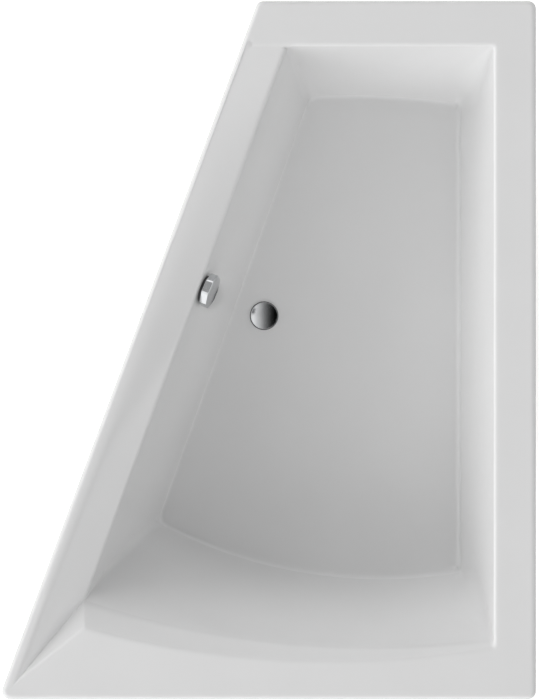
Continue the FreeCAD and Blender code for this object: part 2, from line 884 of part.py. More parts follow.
board_tools = [
    cylinder("board_hole", "board_hole_radius", "rim_height", Placement(drain_centre, upright)),
    box(
        "board_slot",
        "board_slot_length",
        "board_slot_width",
        "rim_height",
        drain_frame.multiply(Placement(Vector(0, -size("board_slot_width") / 2, 0), upright)),
    ),
]
rail_screws = []
rails = {}
for end in ("foot", "head"):
    rail_tools = []
    for number, spot in enumerate(screw_places(end)):
        board_tools.append(
            cylinder(
                f"board_pilot_{end}_{number}",
                "screw_radius + screw_clearance",
                "screw_grip + screw_clearance",
                Placement(spot + Vector(0, 0, size("board_under")), upright),
            )
        )
        rail_tools.append(
            cylinder(
                f"rail_pilot_{end}_{number}",
                "screw_radius + screw_clearance",
                "rail_depth",
                Placement(spot + Vector(0, 0, size("rail_under")), upright),
            )
        )
        rail_screws.append(
            turned(
                f"rail_screw_{end}_{number}",
                [
                    ("0", "web_under - screw_head_height"),
                    ("screw_head_radius", "web_under - screw_head_height"),
                    ("screw_head_radius", "web_under"),
                    ("screw_radius", "web_under"),
                    ("screw_radius", "board_under + screw_grip"),
                    ("0", "board_under + screw_grip"),
                ],
                Placement(spot, upright),
            )
        )
    for number, spot in enumerate(leg_places(end)):
        rail_tools.append(
            cylinder(
                f"leg_hole_{end}_{number}",
                "leg_radius + leg_hole_clearance",
                "rail_depth",
                Placement(spot + Vector(0, 0, size("rail_under")), upright),
            )
        )
    across = f"(bath_length - rail_{end}_inset)" if end == "foot" else f"rail_{end}_inset"
    rail_blank = padded(
        f"rail_blank_{end}",
        "YZ_Plane",
        [
            ("-rail_width / 2", "rail_under"),
            ("-rail_width / 2", "board_under"),
            ("rail_width / 2", "board_under"),
            ("rail_width / 2", "rail_under"),
            ("rail_width / 2 - rail_sheet", "rail_under"),
            ("rail_width / 2 - rail_sheet", "web_under"),
            ("rail_sheet - rail_width / 2", "web_under"),
            ("rail_sheet - rail_width / 2", "rail_under"),
        ],
        f"bath_width / 2 - rail_side_gap - left_corner - {across} * tan(slant_angle)"
        f" - rail_slant_gap_{end} / cos(slant_angle)",
        Placement(Vector(rail_starts[end], rail_places[end], 0), upright),
    )
    rails[end] = cut(f"rail_{end}", rail_blank, rail_tools)
base_board = cut("base_board", board_blank, board_tools)
screw_group = group("rail_screws", rail_screws)

# Legs

leg_names = ["foot_slant", "foot_straight", "head_slant", "head_straight"]
leg_spots = leg_places("foot") + leg_places("head")
leg_nodes = []
nut_sets = {"upper_nuts": [], "lower_nuts": []}
nut_bottoms = {
    "upper_nuts": size("board_under"),
    "lower_nuts": size("web_under") - size("nut_height"),
}
for name, spot in zip(leg_names, leg_spots):
    leg_nodes.append(
        turned(
            f"leg_rod_{name}",
            [
                ("0", "pad_sole"),
                ("leg_radius", "pad_sole"),
                ("leg_radius", "leg_top"),
                ("0", "leg_top"),
            ],
            Placement(spot, upright),
        )
    )
    leg_nodes.append(
        turned(
            f"foot_pad_{name}",
            [
                ("0", "0"),
                ("pad_radius", "0"),
                ("pad_radius", "pad_edge"),
                ("pad_neck_radius", "pad_height - pad_neck_height"),
                ("pad_neck_radius", "pad_height"),
                ("leg_radius + pad_bore_clearance", "pad_height"),
                ("leg_radius + pad_bore_clearance", "pad_sole"),
                ("0", "pad_sole"),
            ],
            Placement(spot, upright),
        )
    )
    for set_name, bottom in nut_bottoms.items():
        seat = Placement(spot + Vector(0, 0, bottom), upright)
        blank = doc.addObject("Part::Prism", f"{set_name}_{name}_blank")
        blank.setExpression("Polygon", bind("nut_sides"))
        blank.setExpression("Circumradius", bind("nut_width / 2 / cos(180 / nut_sides)"))
        blank.setExpression("Height", bind("nut_height"))
        place(blank, seat)
        bore = cylinder(
            f"{set_name}_{name}_bore", "leg_radius + leg_thread_clearance", "nut_height", seat
        )
        nut_sets[set_name].append(cut(f"{set_name}_{name}", blank, [bore]))
nut_groups = [group(set_name, nuts) for set_name, nuts in nut_sets.items()]

# Waste flange, seals and cap

flange_seal = ring(
    "flange_seal",
    "wall_hole_radius",
    "flange_seal_radius",
    "floor_top",
    "flange_under",
    drain_frame,
)
flange_turn = turned(
    "flange_turn",
    [
        ("flange_bore", "flange_bottom"),
        ("flange_tube_radius", "flange_bottom"),
        ("flange_tube_radius", "flange_under"),
        ("flange_radius", "flange_under"),
        ("flange_radius", "flange_under + flange_edge"),
        ("flange_radius - flange_lip", "flange_top"),
        ("seat_radius", "flange_top"),
        ("flange_bore", "flange_top - seat_depth"),
    ],
    drain_frame,
)
hub_base = size("hub_top") - size("hub_height")
spokes = []
for number in range(int(size("spoke_count"))):
    turn = Rotation(Vector(0, 0, 1), 360 * number / size("spoke_count"))
    start = Placement(Vector(0, -size("spoke_width") / 2, hub_base), upright)
    spokes.append(
        box(
            f"spoke_{number}",
            "flange_tube_radius - (flange_tube_radius - flange_bore) / 2",
            "spoke_width",
            "hub_height",
            drain_frame.multiply(Placement(Vector(), turn)).multiply(start),
        )
    )
hub = cylinder("hub", "hub_radius", "hub_height", drain_axis(0, 0, hub_base, Vector(0, 0, 1)))
hub_bore = cylinder(
    "hub_bore",
    "stem_radius + running_clearance",
    "hub_height",
    drain_axis(0, 0, hub_base, Vector(0, 0, 1)),
)
drain_flange = cut("drain_flange", fused("flange_mass", [flange_turn, hub] + spokes), [hub_bore])
plug_cap = turned(
    "plug_cap",
    [
        ("0", "stem_top"),
        ("stem_radius", "stem_top"),
        ("stem_radius", "boss_bottom"),
        ("boss_radius", "boss_bottom"),
        ("boss_radius", "cap_under"),
        ("cap_radius", "cap_under"),
        ("cap_radius", "cap_under + cap_edge"),
        ("cap_shoulder_radius", "cap_under + cap_edge + cap_shoulder_rise"),
        ("0", "cap_top"),
    ],
    drain_frame,
)
plug_stem = turned(
    "plug_stem",
    [
        ("0", "stem_bottom"),
        ("stem_radius", "stem_bottom"),
        ("stem_radius", "stem_top"),
        ("0", "stem_top"),
    ],
    drain_frame,
)
plug_seal = ring(
    "plug_seal",
    "boss_radius",
    "plug_seal_radius",
    "plug_seal_bottom",
    "plug_seal_bottom + plug_seal_height",
    drain_frame,
)

# Waste body

drain_gasket = ring(
    "drain_gasket", "wall_hole_radius", "gasket_radius", "body_top", "floor_under", drain_frame
)
body_turn = turned(
    "body_turn",
    [
        ("tail_bore", "tail_bottom"),
        ("tail_radius", "tail_bottom"),
        ("tail_radius", "body_bottom"),
        ("body_radius", "body_bottom"),
        ("body_radius", "body_top - body_flange_height"),
        ("body_flange_radius", "body_top - body_flange_height"),
        ("body_flange_radius", "body_top"),
        ("body_collar", "body_top"),
        ("body_collar", "body_top - body_flange_height"),
        ("body_bore", "body_top - body_flange_height"),
        ("body_bore", "body_bottom + body_wall"),
        ("tail_bore", "body_bottom + body_wall"),
    ],
    drain_frame,
)
outward = Vector(1, 0, 0)
port_root = size("body_bore") + size("body_wall") / 2
port_tube = cylinder(
    "port_tube",
    "port_radius",
    "port_reach - body_bore - body_wall / 2",
    drain_axis(port_root, 0, size("port_height"), outward),
)
port_bore = cylinder(
    "port_passage", "pipe_bore", "port_reach", drain_axis(0, 0, size("port_height"), outward)
)
port_socket = cylinder(
    "port_socket_bore",
    "port_bore",
    "port_socket",
    drain_axis(size("port_reach") - size("port_socket"), 0, size("port_height"), outward),
)
sideways = Vector(0, 1, 0)
shaft_reach = math.sqrt(size("body_bore") ** 2 - size("crank_arm") ** 2) + size("crank_bearing")
bearing_bore = shaped(
    "bearing_bore",
    Part.makeCylinder(
        size("crank_shaft_radius") + size("running_clearance"),
        2 * shaft_reach,
        Vector(size("crank_arm"), -shaft_reach, size("crank_height")),
        sideways,
    ),
)
place(bearing_bore, crank_frame)
gland_frame = crank_frame.multiply(
    toward(Vector(size("gland_start"), 0, size("pin_height")), outward)
)
gland_hole = cylinder("gland_hole", "gland_radius", "gland_length", gland_frame)
drain_body = cut(
    "drain_body",
    fused("body_mass", [body_turn, port_tube]),
    [port_bore, port_socket, bearing_bore, gland_hole],
)

# Lifting crank, push pin and glands

crank_plate = padded(
    "crank_plate",
    "XZ_Plane",
    [
        ("-crank_reach", "crank_height - crank_thickness / 2"),
        ("crank_arm - crank_thickness / 2", "crank_height - crank_thickness / 2"),
        ("crank_arm - crank_thickness / 2", "crank_height - crank_drop"),
        ("crank_arm + crank_thickness / 2", "crank_height - crank_drop"),
        ("crank_arm + crank_thickness / 2", "crank_top"),
        ("-crank_reach", "crank_top"),
    ],
    "crank_width",
    crank_frame,
    both_ways=True,
)
crank_shaft = shaped(
    "crank_shaft",
    Part.makeCylinder(
        size("crank_shaft_radius"),
        2 * (shaft_reach - size("running_clearance")),
        Vector(
            size("crank_arm"), size("running_clearance") - shaft_reach, size("crank_height")
        ),
        sideways,
    ),
)
place(crank_shaft, crank_frame)
lift_crank = fused("lift_crank", [crank_plate, crank_shaft])
push_pin = cylinder(
    "push_pin",
    "pin_radius",
    "pin_length",
    crank_frame.multiply(toward(Vector(size("pin_tip"), 0, size("pin_height")), outward)),
)


def gland_profile(bore):
    return [
        (bore, "0"),
        ("gland_radius", "0"),
        ("gland_radius", "gland_length"),
        ("gland_mouth_radius", "gland_length"),
        ("gland_mouth_radius", "gland_length - gland_socket"),
        (bore, "gland_length - gland_socket"),
    ]


pin_gland = turned("pin_gland", gland_profile("pin_radius + running_clearance"), gland_frame)
groove_point = overflow_frame.multVec(Vector(-size("groove_radius"), 0, size("groove_middle")))
down = Vector(0, 0, -1)
drum_gland_frame = toward(groove_point + down * size("cover_gland_start"), down)
drum_gland = turned("drum_gland", gland_profile("cable_radius"), drum_gland_frame)
cable_glands = group("cable_glands", [pin_gland, drum_gland])

# Trap and outlet

pot_turn = turned(
    "pot_turn",
    [
        ("0", "pot_bottom"),
        ("pot_radius", "pot_bottom"),
        ("pot_radius", "pot_top"),
        ("collar_radius", "pot_top"),
        ("collar_radius", "collar_top"),
        ("collar_bore", "collar_top"),
        ("collar_bore", "pot_top - pot_wall"),
        ("pot_radius - pot_wall", "pot_top - pot_wall"),
        ("pot_radius - pot_wall", "pot_bottom + pot_wall"),
        ("0", "pot_bottom + pot_wall"),
    ],
    drain_frame,
)
away = Vector(-1, 0, 0)
outlet_root = size("pot_radius") - size("pot_wall")


def outlet_axis(reach):
    return drain_axis(-reach, 0, size("outlet_height"), away)


outlet_tube = cylinder(
    "outlet_tube",
    "outlet_socket_radius",
    "outlet_socket_reach - pot_radius + pot_wall / 2",
    outlet_axis(size("pot_radius") - size("pot_wall") / 2),
)
outlet_passage = cylinder(
    "outlet_passage",
    "outlet_bore",
    "outlet_socket_reach - pot_radius + pot_wall * 2",
    outlet_axis(outlet_root - size("pot_wall")),
)
outlet_socket = cylinder(
    "outlet_socket",
    "outlet_socket_bore",
    "outlet_socket_depth",
    outlet_axis(size("outlet_socket_reach") - size("outlet_socket_depth")),
)
trap_pot = cut(
    "trap_pot", fused("pot_mass", [pot_turn, outlet_tube]), [outlet_passage, outlet_socket]
)
trap_seal = ring(
    "trap_seal",
    "body_radius",
    "collar_radius",
    "collar_top",
    "collar_top + trap_seal_height",
    drain_frame,
)
trap_nut = turned(
    "trap_nut",
    [
        ("trap_nut_bore", "pot_top"),
        ("trap_nut_radius", "pot_top"),
        ("trap_nut_radius", "trap_nut_top"),
        ("collar_bore", "trap_nut_top"),
        ("collar_bore", "collar_top + trap_seal_height"),
        ("trap_nut_bore", "collar_top + trap_seal_height"),
    ],
    drain_frame,
)
outlet_seal = ring(
    "outlet_seal", "outlet_root", "outlet_socket_radius", "0", "outlet_seal_height",
    outlet_axis(size("outlet_socket_reach")),
)
outlet_nut = turned(
    "outlet_nut",
    [
        ("outlet_socket_bore", "0"),
        ("outlet_nut_radius", "0"),
        ("outlet_nut_radius", "-outlet_nut_length"),
        ("outlet_nut_bore", "-outlet_nut_length"),
        ("outlet_nut_bore", "-outlet_nut_plate"),
        ("outlet_socket_bore", "-outlet_nut_plate"),
    ],
    outlet_axis(size("outlet_nut_end")),
)
outlet_pipe = turned(
    "outlet_pipe",
    [
        ("outlet_bore", "outlet_socket_reach - outlet_socket_depth - outlet_nut_end"),
        ("outlet_root", "outlet_socket_reach - outlet_socket_depth - outlet_nut_end"),
        ("outlet_root", "0"),
        ("outlet_radius", "0"),
        ("outlet_radius", "outlet_free_length"),
        ("outlet_bore", "outlet_free_length"),
    ],
    outlet_axis(size("outlet_nut_end")),
)

# Overflow elbow, gasket, ring and screws

overflow_gasket = ring(
    "overflow_gasket",
    "wall_hole_radius",
    "overflow_gasket_radius",
    "elbow_front",
    "-acrylic",
    overflow_frame,
)
barrel_turn = turned(
    "barrel_turn",
    [
        ("0", "elbow_back"),
        ("barrel_radius", "elbow_back"),
        ("barrel_radius", "elbow_front - elbow_flange_height"),
        ("elbow_flange_radius", "elbow_front - elbow_flange_height"),
        ("elbow_flange_radius", "elbow_front"),
        ("0", "elbow_front"),
    ],
    overflow_frame,
)
drop_tube = cylinder("drop_tube", "port_radius", "elbow_drop", toward(elbow_centre, down))
barrel_hollow = cylinder(
    "barrel_hollow", "barrel_bore", "barrel_depth", overflow_axis(0, 0, size("barrel_end"))
)
drop_passage = cylinder("drop_passage", "pipe_bore", "elbow_drop", toward(elbow_centre, down))
drop_end = elbow_centre + down * size("elbow_drop")
drop_socket = cylinder(
    "drop_socket", "port_bore", "port_socket", toward(drop_end, Vector(0, 0, 1))
)
elbow_case = cut(
    "elbow_case",
    fused("elbow_mass", [barrel_turn, drop_tube]),
    [barrel_hollow, drop_passage, drop_socket],
)
fixing_spots = [size("fixing_circle_radius"), -size("fixing_circle_radius")]
elbow_bosses = [
    cylinder(
        "bearing_boss", "bearing_radius", "bearing_height", overflow_axis(0, 0, size("barrel_end"))
    )
]
elbow_bores = [
    cylinder(
        "bearing_hole",
        "journal_radius + running_clearance",
        "bearing_height + barrel_back",
        overflow_axis(0, 0, size("elbow_back")),
    )
]
ring_bores = [
    cylinder(
        "ring_bearing",
        "spindle_radius + running_clearance",
        "ring_height",
        overflow_axis(0, 0, 0),
    )
]
fixings = []
for number, spot in enumerate(fixing_spots):
    boss_start = overflow_axis(spot, 0, size("elbow_front") - size("fixing_boss_depth"))
    elbow_bosses.append(
        cylinder(f"fixing_boss_{number}", "fixing_boss_radius", "fixing_boss_depth", boss_start)
    )
    elbow_bores.append(
        cylinder(
            f"fixing_pilot_{number}",
            "fixing_radius + running_clearance",
            "fixing_depth",
            overflow_axis(spot, 0, -size("fixing_depth")),
        )
    )
    ring_bores.append(
        cylinder(
            f"ring_hole_{number}",
            "fixing_radius + running_clearance",
            "ring_height",
            overflow_axis(spot, 0, 0),
        )
    )
    ring_bores.append(
        cylinder(
            f"ring_recess_{number}",
            "fixing_head_radius + running_clearance",
            "fixing_head_height",
            overflow_axis(spot, 0, size("ring_height") - size("fixing_head_height")),
        )
    )
    fixings.append(
        turned(
            f"fixing_{number}",
            [
                ("0", "running_clearance - fixing_depth"),
                ("fixing_radius", "running_clearance - fixing_depth"),
                ("fixing_radius", "ring_height - fixing_head_height"),
                ("fixing_head_radius", "ring_height - fixing_head_height"),
                ("fixing_head_radius", "ring_height"),
                ("0", "ring_height"),
            ],
            overflow_axis(spot, 0, 0),
        )
    )
water_step = 180 / size("water_holes_per_side")
for number in range(2 * int(size("water_holes_per_side"))):
    turn = Rotation(Vector(0, 0, 1), water_step * (number + 1 / 2))
    reach = turn.multVec(Vector(size("fixing_circle_radius"), 0, 0))
    ring_bores.append(
        cylinder(
            f"water_hole_{number}",
            "water_hole_radius",
            "ring_height",
            overflow_axis(reach.x, reach.y, 0),
        )
    )
overflow_elbow = cut(
    "overflow_elbow", fused("elbow_with_bosses", [elbow_case] + elbow_bosses), elbow_bores
)
ring_blank = cylinder("ring_blank", "ring_radius", "ring_height", overflow_axis(0, 0, 0))
overflow_ring = cut("overflow_ring", ring_blank, ring_bores)
overflow_screws = group("overflow_screws", fixings)

# Knob, spindle, cable drum and its cover


def regular(count, width):
    """Corners of a regular figure of the given width across flats, turned to its rest place."""
    corners = []
    for step in range(count):
        turn = f"{360 * (step + 0.5) / count} + knob_rest_turn"
        radius = f"{width} / 2 / cos({180 / count})"
        corners.append((f"{radius} * cos({turn})", f"{radius} * sin({turn})"))
    return corners


facets = int(size("knob_facets"))
knob_body = doc.addObject("PartDesign::Body", "knob_body")
knob_pad = knob_body.newObject("PartDesign::Pad", "knob_pad")
knob_pad.Profile = outline(knob_body, "XY_Plane", regular(facets, "knob_width"), "knob_back")
knob_pad.setExpression("Length", bind("knob_side"))
knob_taper = knob_body.newObject("PartDesign::AdditiveLoft", "knob_taper")
knob_taper.Profile = outline(
    knob_body, "XY_Plane", regular(facets, "knob_width"), "knob_shoulder"
)
knob_taper.Sections = [
    outline(knob_body, "XY_Plane", regular(facets, "knob_front_width"), "knob_front")
]
knob_taper.Ruled = True
place(knob_body, overflow_frame)
knob_bore = cylinder(
    "knob_bore",
    "spindle_radius",
    "knob_socket",
    overflow_axis(0, 0, size("knob_back")),
)
overflow_knob = cut("overflow_knob", knob_body, [knob_bore])
knob_spindle = turned(
    "knob_spindle",
    [
        ("0", "drum_end"),
        ("journal_radius", "drum_end"),
        ("journal_radius", "bearing_front + knob_gap"),
        ("spindle_radius", "bearing_front + knob_gap"),
        ("spindle_radius", "knob_back + knob_socket"),
        ("0", "knob_back + knob_socket"),
    ],
    overflow_frame,
)
cable_drum = turned(
    "cable_drum",
    [
        ("journal_radius", "drum_end"),
        ("drum_radius", "drum_end"),
        ("drum_radius", "groove_middle - groove_width / 2"),
        ("groove_radius", "groove_middle - groove_width / 2"),
        ("groove_radius", "groove_middle + groove_width / 2"),
        ("drum_radius", "groove_middle + groove_width / 2"),
        ("drum_radius", "drum_front"),
        ("journal_radius", "drum_front"),
    ],
    overflow_frame,
)
cover_turn = turned(
    "cover_turn",
    [
        ("0", "elbow_back - cover_height"),
        ("cover_radius", "elbow_back - cover_height"),
        ("cover_radius", "elbow_back"),
        ("cover_radius - cover_wall", "elbow_back"),
        ("cover_radius - cover_wall", "elbow_back - cover_height + cover_wall"),
        ("0", "elbow_back - cover_height + cover_wall"),
    ],
    overflow_frame,
)
cover_hole = cylinder("cover_hole", "gland_radius", "gland_length", drum_gland_frame)
drum_cover = cut("drum_cover", cover_turn, [cover_hole])

# Overflow pipe and its nuts

pipe_top = drop_end + Vector(0, 0, size("port_socket") - size("pipe_end_gap"))
pipe_corner = Vector(elbow_centre.x, elbow_centre.y, size("port_height"))
pipe_end = drain_frame.multVec(
    Vector(
        size("port_reach") - size("port_socket") + size("pipe_end_gap"), 0, size("port_height")
    )
)
pipe_points = [pipe_top, pipe_corner, pipe_end]
pipe_outer = swept(pipe_points, size("pipe_bend"), size("pipe_radius"))
pipe_inner = swept(pipe_points, size("pipe_bend"), size("pipe_bore"))
overflow_pipe = shaped("overflow_pipe", pipe_outer.cut(pipe_inner))


def pipe_nut(label, frame):
    profile = [
        ("port_bore", "pipe_nut_plate"),
        ("pipe_nut_radius", "pipe_nut_plate"),
        ("pipe_nut_radius", "pipe_nut_plate - pipe_nut_length"),
        ("pipe_nut_bore", "pipe_nut_plate - pipe_nut_length"),
        ("pipe_nut_bore", "0"),
        ("port_bore", "0"),
    ]
    return turned(label, profile, frame)


upper_pipe_nut = pipe_nut("upper_pipe_nut", toward(drop_end, down))
lower_pipe_nut = pipe_nut(
    "lower_pipe_nut", drain_axis(size("port_reach"), 0, size("port_height"), outward)
)

# Every piece is checked, then written under its own name

nodes = [
    acrylic_shell,
    fibreglass_backing,
    base_board,
    rails["foot"],
    rails["head"],
    screw_group,
    flange_seal,
    drain_flange,
    plug_cap,
    plug_stem,
    plug_seal,
    drain_gasket,
    drain_body,
    lift_crank,
    push_pin,
    cable_glands,
    trap_pot,
    trap_seal,
    trap_nut,
    outlet_seal,
    outlet_nut,
    outlet_pipe,
    overflow_gasket,
    overflow_elbow,
    overflow_ring,
    overflow_screws,
    overflow_knob,
    knob_spindle,
    cable_drum,
    drum_cover,
    overflow_pipe,
    upper_pipe_nut,
    lower_pipe_nut,
]
nodes += leg_nodes + nut_groups
doc.recompute()
for item in doc.Objects:
    if "Invalid" in item.State or "Error" in item.State:
        raise RuntimeError(f"{item.Label} did not build: {item.State}")
os.makedirs("parts", exist_ok=True)
for node in nodes:
    shape = node.Shape
    if shape.isNull() or not shape.isValid():
        raise RuntimeError(f"{node.Label} has no valid shape")
    shape.exportStep(f"parts/{node.Label}.step")
    print(f"{node.Label}: {len(shape.Solids)} solid, {shape.Volume / 1000:.1f} cm3")
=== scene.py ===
import json
import math

import bpy
import numpy as np
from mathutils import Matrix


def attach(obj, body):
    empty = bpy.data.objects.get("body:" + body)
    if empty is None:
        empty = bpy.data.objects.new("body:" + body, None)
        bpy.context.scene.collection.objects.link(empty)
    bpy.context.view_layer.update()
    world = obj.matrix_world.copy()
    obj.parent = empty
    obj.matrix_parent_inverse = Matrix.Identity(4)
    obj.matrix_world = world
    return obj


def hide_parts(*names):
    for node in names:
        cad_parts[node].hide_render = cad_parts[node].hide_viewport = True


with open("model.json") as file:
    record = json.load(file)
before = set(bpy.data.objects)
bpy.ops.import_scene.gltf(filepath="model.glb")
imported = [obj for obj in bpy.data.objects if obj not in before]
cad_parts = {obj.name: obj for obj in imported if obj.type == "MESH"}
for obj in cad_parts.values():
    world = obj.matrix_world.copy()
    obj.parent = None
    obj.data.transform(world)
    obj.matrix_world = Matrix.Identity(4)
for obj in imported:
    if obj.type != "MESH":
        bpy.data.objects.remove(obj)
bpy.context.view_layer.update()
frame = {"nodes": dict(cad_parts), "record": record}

mm = 0.001   # sizes below are in millimetres, meshes in metres
record = frame["record"]
slotOf = {part["node"]: part["material_slot"] for part in record["subparts"]}
bodyOf = {name: body for body, names in record["behaviour"]["bodies"].items() for name in names}

# places and directions that the frame gives
joints = {joint["name"]: joint for joint in record["behaviour"]["joints"]}
mounts = {mount["name"]: mount for mount in record["mounts"]}
up, down, right = np.array([[0.0, 0.0, 1.0], [0.0, 0.0, -1.0], [1.0, 0.0, 0.0]])
overflowSpot = np.array(joints["knob_turn"]["pos_m"]) / mm   # middle of the overflow hole in the slanted wall
wallInward = np.array(joints["knob_turn"]["axis"])           # square to that wall, into the basin
wallLevel = np.cross(up, wallInward) / np.hypot(*wallInward[:2])
glandWay = -np.array(joints["pin_push"]["axis"])
outletWay = np.array(mounts["outlet"]["axis"])
portWay = -outletWay                                         # from the waste towards the overflow


# finishes come first, each from noise on Object coordinates

def newNode(tree, kind, inputs):
    # each input is linked to the socket, or set to the value, that is given for it
    made = tree.nodes.new("ShaderNode" + kind)
    for name, given in inputs.items():
        if isinstance(given, bpy.types.NodeSocket):
            tree.links.new(given, made.inputs[name])
        else:
            made.inputs[name].default_value = given
    return made


def newFinish(name, metal=0.0):
    material = bpy.data.materials.new(name)
    material.use_nodes = True
    tree = material.node_tree
    place, shader = newNode(tree, "TexCoord", {}).outputs["Object"], tree.nodes["Principled BSDF"]
    shader.inputs["Metallic"].default_value = metal
    return {"material": material, "tree": tree, "place": place, "shader": shader}


def stretched(look, scale, turn=(0, 0, 0)):
    # the same look on a place that is stretched and turned, for streaks
    turn = [math.radians(angle) for angle in turn]
    mapping = newNode(look["tree"], "Mapping", {"Vector": look["place"], "Scale": scale, "Rotation": turn})
    return {**look, "place": mapping.outputs["Vector"]}


def grain(look, scale=1.0, detail=3.0):
    inputs = {"Vector": look["place"], "Scale": scale, "Detail": detail}
    return newNode(look["tree"], "TexNoise", inputs).outputs["Fac"]


def flakes(look, scale=1.0):
    return newNode(look["tree"], "TexVoronoi", {"Vector": look["place"], "Scale": scale}).outputs["Color"]


def greater(tree, first, second):
    most = newNode(tree, "Math", {0: first, 1: second})
    most.operation = "MAXIMUM"
    return most.outputs[0]


def grey(tone):
    return (tone, tone, tone, 1.0)


def graded(tree, factor, stops):
    # a ramp through (position, grey or colour) stops
    ramp = newNode(tree, "ValToRGB", {"Fac": factor})
    elements = ramp.color_ramp.elements
    elements[0].position, elements[1].position = stops[0][0], stops[-1][0]
    for stop in stops[1:-1]:
        elements.new(stop[0])
    for element, stop in zip(elements, stops):
        element.color = (*stop[1], 1.0) if isinstance(stop[1], tuple) else grey(stop[1])
    return ramp.outputs["Color"]


def toned(look, factor, stops, socket="Base Color"):
    look["tree"].links.new(graded(look["tree"], factor, stops), look["shader"].inputs[socket])


def dulled(look, factor, stops):
    toned(look, factor, stops, "Roughness")


def raised(look, factor, height, strength):
    bump = newNode(look["tree"], "Bump", {"Height": factor, "Distance": height, "Strength": strength})
    look["tree"].links.new(bump.outputs["Normal"], look["shader"].inputs["Normal"])


def glossAcrylic():
    # sheet acrylic: near-even white, wet gloss, a very slight orange peel from the forming
    look = newFinish("glossAcrylic")
    toned(look, grain(look, scale=5.0), [(0.3, (0.790, 0.791, 0.792)), (0.7, (0.806, 0.807, 0.808))])
    dulled(look, grain(look, scale=60.0), [(0.3, 0.10), (0.7, 0.15)])
    raised(look, grain(look, scale=45.0, detail=1.0), height=0.00006, strength=0.25)
    look["shader"].inputs["IOR"].default_value = 1.49
    return look["material"]


def sprayedResin():
    # chopped strands in cream resin: streaks in three directions, under a gloss in blotches
    look = newFinish("sprayedResin")
    lie = [((40, 420, 420), (0, 20, 35)), ((420, 50, 420), (25, 0, 50)), ((380, 420, 45), (35, 20, 0))]
    first, second, third = (grain(stretched(look, *way), detail=2.0) for way in lie)
    strands = greater(look["tree"], greater(look["tree"], first, second), third)
    toned(look, strands, [(0.42, (0.50, 0.47, 0.37)), (0.56, (0.62, 0.59, 0.49)), (0.68, (0.74, 0.72, 0.63))])
    dulled(look, grain(look, scale=24.0), [(0.3, 0.32), (0.7, 0.62)])
    raised(look, strands, height=0.0012, strength=0.7)
    return look["material"]


def rawChipboard():
    # flat chips, each with a tone, a dullness and a height of its own
    look = newFinish("rawChipboard")
    chips = flakes(stretched(look, (170, 170, 420)))
    toned(look, chips, [(0.1, (0.30, 0.19, 0.10)), (0.5, (0.47, 0.33, 0.19)), (0.9, (0.60, 0.46, 0.29))])
    dulled(look, chips, [(0.2, 0.65), (0.8, 0.85)])
    raised(look, chips, height=0.0004, strength=0.6)
    return look["material"]


def zincPlate():
    # zinc on steel: faint spangle, drawn lines along the rails
    look = newFinish("zincPlate", metal=1.0)
    lines = grain(stretched(look, (12, 300, 300)))
    toned(look, flakes(look, scale=55.0), [(0.1, (0.50, 0.51, 0.53)), (0.9, (0.66, 0.67, 0.68))])
    dulled(look, lines, [(0.3, 0.30), (0.7, 0.46)])
    raised(look, lines, height=0.0001, strength=0.4)
    return look["material"]


def mouldedPlastic(name, dark, light, rough, size=420.0):
    # moulded plastic: fine spark-eroded grain, slight cloudiness
    look = newFinish(name)
    toned(look, grain(look, scale=14.0, detail=4.0), [(0.3, dark), (0.7, light)])
    dulled(look, grain(look, size), [(0.3, rough - 0.06), (0.7, rough + 0.08)])
    raised(look, grain(look, size, detail=2.0), height=0.0002, strength=0.35)
    return look["material"]


def brightMetal(name, dark, light, low, high, size=30.0):
    # plated or turned metal: slight clouds of tone, finer ones of polish
    look = newFinish(name, metal=1.0)
    toned(look, grain(look, size), [(0.3, dark), (0.7, light)])
    dulled(look, grain(look, size * 6, detail=5.0), [(0.3, low), (0.7, high)])
    return look["material"]


finishes = {
    "acrylic": glossAcrylic(),
    "fibreglass": sprayedResin(),
    "board": rawChipboard(),
    "zinc_steel": zincPlate(),
    "pad_plastic": mouldedPlastic("footPlastic", (0.020, 0.020, 0.022), (0.032, 0.032, 0.034), 0.52),
    "chrome": brightMetal("chromePlate", (0.57, 0.58, 0.59), (0.62, 0.63, 0.64), 0.10, 0.14),
    "stainless": brightMetal("brightStainless", (0.58, 0.58, 0.59), (0.68, 0.68, 0.68), 0.20, 0.30),
    "seal_rubber": mouldedPlastic("sealRubber", (0.014, 0.014, 0.014), (0.026, 0.026, 0.026), 0.70, 700.0),
    "waste_plastic": mouldedPlastic("wastePlastic", (0.60, 0.61, 0.62), (0.68, 0.69, 0.70), 0.38),
    "nut_plastic": mouldedPlastic("nutPlastic", (0.075, 0.078, 0.085), (0.105, 0.108, 0.115), 0.45),
    "dark_plastic": mouldedPlastic("blackPlastic", (0.016, 0.016, 0.018), (0.028, 0.028, 0.030), 0.40),
    "brass": brightMetal("turnedBrass", (0.62, 0.45, 0.18), (0.74, 0.56, 0.26), 0.22, 0.32),
}
for name, piece in frame["nodes"].items():
    piece.data.materials.clear()
    piece.data.materials.append(finishes[slotOf[name]])
print("finishes:", len(finishes))


# surfaces as whole arrays: a form is its points, its four-cornered faces and its three-cornered ones

def mixed(start, end, share):
    return start + (end - start) * share


def rising(distance, run):
    # 0 before the start of a run, 1 past its end
    return np.clip(distance / run, 0, 1)


def unit(way):
    return way / np.linalg.norm(way, axis=-1, keepdims=True)


